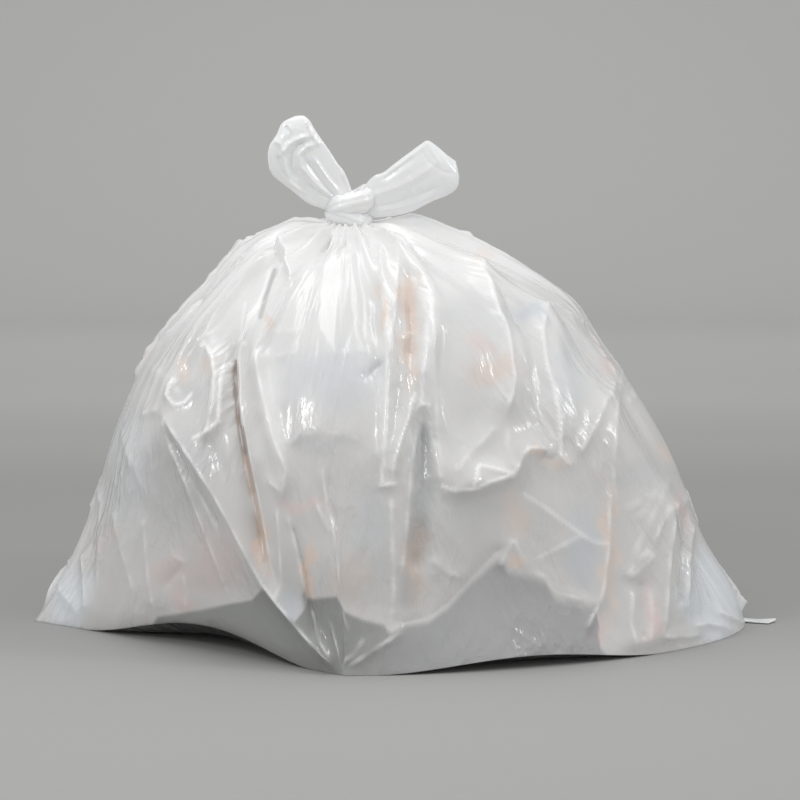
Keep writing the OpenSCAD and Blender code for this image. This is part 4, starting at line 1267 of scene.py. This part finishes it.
def make_half(name, first, rings, normals, colour, flat):
    """Half of the body, from its first column on, with a closed floor and neck."""
    place = np.arange(-TUCKED, COLUMNS // 2 + TUCKED + 1)
    columns = (first + place) % COLUMNS
    beyond = np.maximum(-place, place - COLUMNS // 2)
    sunk = TUCK_DEPTH * smooth(beyond / TUCK_RUN)[:, None, None] * normals[columns]
    points = (rings[columns] - sunk).reshape(-1, 3)
    rows = rings.shape[1]
    faces = split_quads(points, grid_corners(len(columns), rows))
    floor_middle = len(points)
    neck_middle = floor_middle + 1
    for i in range(len(columns) - 1):
        faces.append((floor_middle, (i + 1) * rows, i * rows))
        faces.append((neck_middle, (i + 1) * rows - 1, (i + 2) * rows - 1))
    piece = add_mesh(name, np.vstack([points, [*MIDDLE, 0], NECK_TOP]), faces)
    piece.data.normals_split_custom_set_from_vertices(
        np.vstack([normals[columns].reshape(-1, 3), [[0, 0, -1], [0, 0, 1]]])
    )
    paint(piece, np.vstack([colour[columns].reshape(-1, 3), WHITE, WHITE]))
    # The flat film runs on where the grid begins again
    turns = (first + place - columns) / COLUMNS * TURN
    laid = flat[columns] + np.stack([turns, 0 * turns], -1)[:, None]
    lay_film(piece, np.vstack([laid.reshape(-1, 2), [[0, 0], [0, 0]]]))
    return piece


def make_body():
    """The back and the front half of the body."""
    wall, film, crest = film_body()
    under = under_rings(wall[:, 0])
    rings = np.concatenate([under, wall], axis=1)
    added = under.shape[1]
    flat = np.concatenate([film[:, :1] * [1, 0]] * added + [film], axis=1)
    colour = film_colour(rings, np.pad(crest, ((0, 0), (added, 0))))
    # The underside is painted dark, a painted shadow under the edge
    colour[:, :added] *= UNDER_SHADE
    normals = shared_normals(rings)
    return [
        make_half(name, first, rings, normals, colour, flat)
        for name, first in (("film_back", 0), ("film_front", COLUMNS // 2))
    ]


def make_ear(name, edges, creases, share, seed, bow):
    """A lobe of doubled film. Both its sheets carry creases, which run into the knot."""
    lower, upper = np.array(edges).transpose(1, 0, 2) * MM
    f, g = np.meshgrid(np.linspace(0, 1, EAR_ALONG), np.linspace(0, 1, EAR_ACROSS), indexing="ij")
    seen = along(lower, f) * (1 - g)[..., None] + along(upper, f) * g[..., None]
    fullness = (4 * g * (1 - g)) ** EAR_FULLNESS
    thick = EAR_THICKNESS * (EAR_SWELL - EAR_LOSS * np.abs(f - EAR_THICKEST))
    thick *= np.sqrt(smooth((1 - f) / EAR_END))
    bend = bow * np.sin(EAR_BEND * f) * EAR_BOW
    lines = [np.array(row[3]) * MM for row in creases]
    film = seen + towards_lines(seen, lines, EAR_CATCH_REACH)
    sheets, tints = [], []
    for side, part in ((1, share), (-1, BACK_SHEET_SHARE * share)):
        relief = Relief(film)
        for (rise, left, right, _), line in zip(creases, lines):
            relief.crease(part * rise, left, right, line)
        crumple = EAR_CRUMPLE * facets(film, seed + side, *EAR_FACETS)
        out = side * thick / 2 * fullness + (relief.push + crumple) * smooth(fullness / EAR_FULLNESS)
        sheets.append(from_front_view(film, out + bend))
        # The rim, the end and the film at the knot are whiter, and the ear's crests get a painted highlight
        rim, end = 1 - fullness / EAR_WHITE_RIM, 1 - (1 - f) / EAR_WHITE_END
        white = clamp(np.maximum.reduce([rim, end, 1 - f / EAR_WHITE_KNOT, relief.crest]))
        tints.append(mix(np.array(EAR_TINT), EAR_WHITE_AND_HIGHLIGHT, white))
    piece = add_mesh(name, np.concatenate(sheets).reshape(-1, 3), shell_faces(EAR_ALONG, EAR_ACROSS))
    paint(piece, np.concatenate(tints).reshape(-1, 3))
    return piece


def make_turn(name, middle, size, tilt, width, flutes, twist):
    """A closed turn of bunched film in the knot. Its pleats run along it and twist."""
    a = np.linspace(0, 2 * math.pi, TURN_STEPS, endpoint=False)
    rise = tilt[0] * np.cos(a) + tilt[1] * np.sin(2 * a)
    path = np.stack([size[0] * np.cos(a), size[1] * np.sin(a), rise], -1)
    ahead = np.roll(path, -1, 0) - np.roll(path, 1, 0)
    ahead /= np.linalg.norm(ahead, axis=1, keepdims=True)
    out = path * np.array([1, 1, 0])
    out -= ahead * (out * ahead).sum(1, keepdims=True)
    out /= np.linalg.norm(out, axis=1, keepdims=True)
    up = np.cross(ahead, out)
    # The turn's width and its pleats vary along it
    b = np.linspace(0, 2 * math.pi, TURN_AROUND, endpoint=False)
    fat = 1 + sum(more * np.sin(waves * a + start) for more, waves, start in TURN_WAVES)
    far, waves = TURN_WANDER
    phase = flutes * b[None, :] + twist * a[:, None] + far * np.sin(waves * a)[:, None]
    depth, sharp, below = TURN_PLEATS
    pleat = 1 + depth * (np.abs(np.sin(phase / 2)) ** sharp - below)
    reach = width / 2 * fat[:, None] * pleat
    ring = (
        out[:, None] * (reach * np.cos(b) * TURN_SHAPE[0])[..., None]
        + up[:, None] * (reach * np.sin(b) * TURN_SHAPE[1])[..., None]
        + path[:, None]
    )
    points = ring.reshape(-1, 3) + NECK_TOP + np.array(middle)
    return add_mesh(name, points, grid_corners(TURN_STEPS, TURN_AROUND, True, True).T.tolist())


def make_knot():
    """The two turns of the knot, and the core that they are wound round."""
    turns = [make_turn(*row) for row in KNOT_TURNS]
    a, b = np.meshgrid(
        np.linspace(0, math.pi, CORE_STEPS + 1),
        np.linspace(0, 2 * math.pi, CORE_STEPS, endpoint=False),
        indexing="ij",
    )
    depth, flutes, twist = CORE_PLEATS
    fat = 1 + depth * np.sin(flutes * b + twist * a)
    round_core = np.stack([np.sin(a) * np.cos(b) * fat, np.sin(a) * np.sin(b) * fat, np.cos(a)], -1)
    points = round_core * CORE_SIZE + NECK_TOP + np.array([0, 0, CORE_HEIGHT])
    faces = grid_corners(CORE_STEPS + 1, CORE_STEPS, False, True).T.tolist()
    return turns + [add_mesh("knot_core", points.reshape(-1, 3), faces)]


def make_strip():
    """The free end of the strip below the weld, two films thick and slightly curled."""
    columns, rows = STRIP_STEPS
    f, g = np.meshgrid(np.linspace(0, 1, columns + 1), np.linspace(0, 1, rows + 1), indexing="ij")
    length = STRIP_SHOWING - STRIP_LENGTH + f * STRIP_LENGTH * (1 - STRIP_SLANT * (1 - g) * f)
    wide = (g - 0.5) * STRIP_WIDTH * (1 - STRIP_NARROWS * f)
    curl = STRIP_RIPPLE * np.sin(STRIP_WAVES[0] * f + STRIP_WAVES[1] * g) + STRIP_CURL * f * f * g
    x = length * math.cos(STRIP_TURN) + wide * math.sin(STRIP_TURN) + RIGHT_TIP - NECK_SHIFT
    y = wide * math.cos(STRIP_TURN) - length * math.sin(STRIP_TURN) + CENTRE_Y
    sheets = [np.stack([x, y, z], -1) for z in (np.full(f.shape, STRIP_LOWER), STRIP_UPPER + curl)]
    return add_mesh("seal_strip", np.concatenate(sheets).reshape(-1, 3), shell_faces(columns + 1, rows + 1))


def add_node(tree, kind, **values):
    """Adds a node, and sets its inputs or properties of these names."""
    node = tree.nodes.new(kind)
    for key, value in values.items():
        if key in node.inputs:
            node.inputs[key].default_value = value
        else:
            setattr(node, key, value)
    return node


def add_range(tree, source, start, end):
    """Maps a value from one range onto another, and holds it at the ends."""
    node = tree.nodes.new("ShaderNodeMapRange")
    for name, value in zip(("From Min", "From Max", "To Min", "To Max"), (*start, *end)):
        node.inputs[name].default_value = value
    tree.links.new(source, node.inputs["Value"])
    return node.outputs["Result"]


def add_noise(tree, source, **values):
    """A noise texture that lies on the film as the source says."""
    node = add_node(tree, "ShaderNodeTexNoise", **values)
    tree.links.new(source, node.inputs["Vector"])
    return node.outputs


def new_material(name):
    material = bpy.data.materials.new(name)
    material.use_nodes = True
    return material, material.node_tree, material.node_tree.nodes["Principled BSDF"]


def film_material():
    """Milky film: its colour comes from the piece, with fine crinkles and an uneven gloss."""
    material, tree, shader = new_material("film")
    link = tree.links.new
    for name, value in FILM_SHADER.items():
        shader.inputs[name].default_value = value
    tint = add_node(tree, "ShaderNodeAttribute", attribute_name="tint")
    link(tint.outputs["Color"], shader.inputs["Base Color"])
    place = add_node(tree, "ShaderNodeAttribute", attribute_name="film").outputs["Vector"]
    stretch = add_node(tree, "ShaderNodeVectorMath", operation="MULTIPLY")
    stretch.inputs[1].default_value = CRINKLE_STRETCH
    link(place, stretch.inputs[0])
    stretched = stretch.outputs[0]
    bent = add_node(tree, "ShaderNodeMixRGB", blend_type="LINEAR_LIGHT", Fac=CRINKLE_WANDER)
    link(stretched, bent.inputs["Color1"])
    link(add_noise(tree, stretched, Scale=45, Detail=3, Roughness=0.6)["Color"], bent.inputs["Color2"])
    crinkle = add_node(tree, "ShaderNodeTexVoronoi", feature="F1", Scale=95)
    link(bent.outputs[0], crinkle.inputs["Vector"])
    wrinkle = add_noise(tree, stretched, Scale=170, Detail=4, Roughness=0.6)["Fac"]
    height = add_node(tree, "ShaderNodeMath", operation="MULTIPLY_ADD")
    height.inputs[1].default_value = WRINKLE_SHARE
    link(wrinkle, height.inputs[0])
    link(crinkle.outputs["Distance"], height.inputs[2])
    # They come and go over the film, and are weaker high on the bag
    where = add_noise(tree, place, Scale=14, Detail=2)["Fac"]
    split = add_node(tree, "ShaderNodeSeparateXYZ")
    link(place, split.inputs[0])
    strength = add_node(tree, "ShaderNodeMath", operation="MULTIPLY")
    link(add_range(tree, where, *CRINKLE_BY_NOISE), strength.inputs[0])
    link(add_range(tree, split.outputs["Y"], *CRINKLE_BY_HEIGHT), strength.inputs[1])
    bump = add_node(tree, "ShaderNodeBump", Distance=CRINKLE_DEPTH)
    link(strength.outputs[0], bump.inputs["Strength"])
    link(height.outputs[0], bump.inputs["Height"])
    link(bump.outputs["Normal"], shader.inputs["Normal"])
    link(bump.outputs["Normal"], shader.inputs["Coat Normal"])
    link(add_range(tree, where, *ROUGHNESS_BY_NOISE), shader.inputs["Roughness"])
    return material


def sheet_material():
    """Matt grey, with shades that run from the front of the sheet to its back, darker in a band beside and
    behind the bag as a painted shadow.
    """
    material, tree, shader = new_material("backdrop")
    shader.inputs["Roughness"].default_value = SHEET_ROUGHNESS
    place = add_node(tree, "ShaderNodeTexCoord")
    split = add_node(tree, "ShaderNodeSeparateXYZ")
    tree.links.new(place.outputs["Object"], split.inputs[0])
    first, last = SHEET_GREYS_AND_SHADOW[0][0], SHEET_GREYS_AND_SHADOW[-1][0]
    shades = add_node(tree, "ShaderNodeValToRGB")
    shades.color_ramp.interpolation = "EASE"
    stops = shades.color_ramp.elements
    while len(stops) < len(SHEET_GREYS_AND_SHADOW):
        stops.new(0.5)
    for stop, (y, shade) in zip(stops, SHEET_GREYS_AND_SHADOW):
        stop.position = (y - first) / (last - first)
        stop.color = (shade, shade, shade * SHEET_WARMTH, 1)
    tree.links.new(add_range(tree, split.outputs["Y"], (first, last), (0, 1)), shades.inputs["Fac"])
    tree.links.new(shades.outputs["Color"], shader.inputs["Base Color"])
    return material


def add_backdrop():
    """A grey sheet that lies on the floor and curves up behind the bag."""
    a = np.linspace(0, math.pi / 2, SHEET_STEPS + 1)
    curve = np.stack([SHEET_FAR + SHEET_RADIUS * np.sin(a), SHEET_RADIUS * (1 - np.cos(a))], -1)
    profile = np.vstack([[SHEET_NEAR, 0], curve, [SHEET_FAR + SHEET_RADIUS, SHEET_TOP]])
    points = [(x, y, z) for y, z in profile for x in (-SHEET_HALF, SHEET_HALF)]
    faces = [(2 * i, 2 * i + 1, 2 * i + 3, 2 * i + 2) for i in range(len(profile) - 1)]
    sheet = add_mesh("backdrop", points, faces)
    sheet.data.materials.append(sheet_material())


def add_lamp(name, place, target, size, power):
    """A rectangular lamp that shines towards a target."""
    light = bpy.data.lights.new(name, "AREA")
    light.shape = "RECTANGLE"
    light.size, light.size_y = size
    light.energy = power
    lamp = add_object(name, light)
    lamp.location = place
    lamp.rotation_euler = (Vector(target) - Vector(place)).to_track_quat("-Z", "Y").to_euler()


def add_world():
    """Plain white light from all round."""
    world = bpy.data.worlds.new("world")
    bpy.context.scene.world = world
    world.use_nodes = True
    background = world.node_tree.nodes["Background"]
    background.inputs["Color"].default_value = (1, 1, 1, 1)
    background.inputs["Strength"].default_value = WORLD_STRENGTH


def add_camera():
    """The camera looks at the bag from the photograph's angle, and frames it as there."""
    data = bpy.data.cameras.new("camera")
    camera = add_object("camera", data)
    bpy.context.scene.camera = camera
    data.sensor_width = SENSOR_WIDTH
    data.lens = FOCAL_PIXELS / FRAME_PIXELS * SENSOR_WIDTH
    camera.location = (0, -CAMERA_AWAY * math.cos(CAMERA_HIGH), CAMERA_AWAY * math.sin(CAMERA_HIGH))
    pitch = CAMERA_HIGH - math.atan((FOOT_PIXEL[1] - FRAME_PIXELS / 2) / FOCAL_PIXELS)
    yaw = math.atan((FOOT_PIXEL[0] - FRAME_PIXELS / 2) / FOCAL_PIXELS)
    camera.rotation_euler = (math.pi / 2 - pitch, 0, yaw)


add_camera()
add_backdrop()
add_world()
for row in LAMPS:
    add_lamp(*row)

film = film_material()
halves = make_body()
ears = [make_ear(*row) for row in EARS]
others = [make_strip()] + make_knot()
for piece in others:
    paint(piece, KNOT_TINT)
for piece in ears + others:
    points = np.array([v.co for v in piece.data.vertices])
    lay_film(piece, points[:, [0, 2]])
for piece in halves + ears + others:
    piece.data.materials.append(film)
    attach(piece, "root")
for piece in halves:
    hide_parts("bag")

bpy.context.scene.view_settings.view_transform = "Standard"
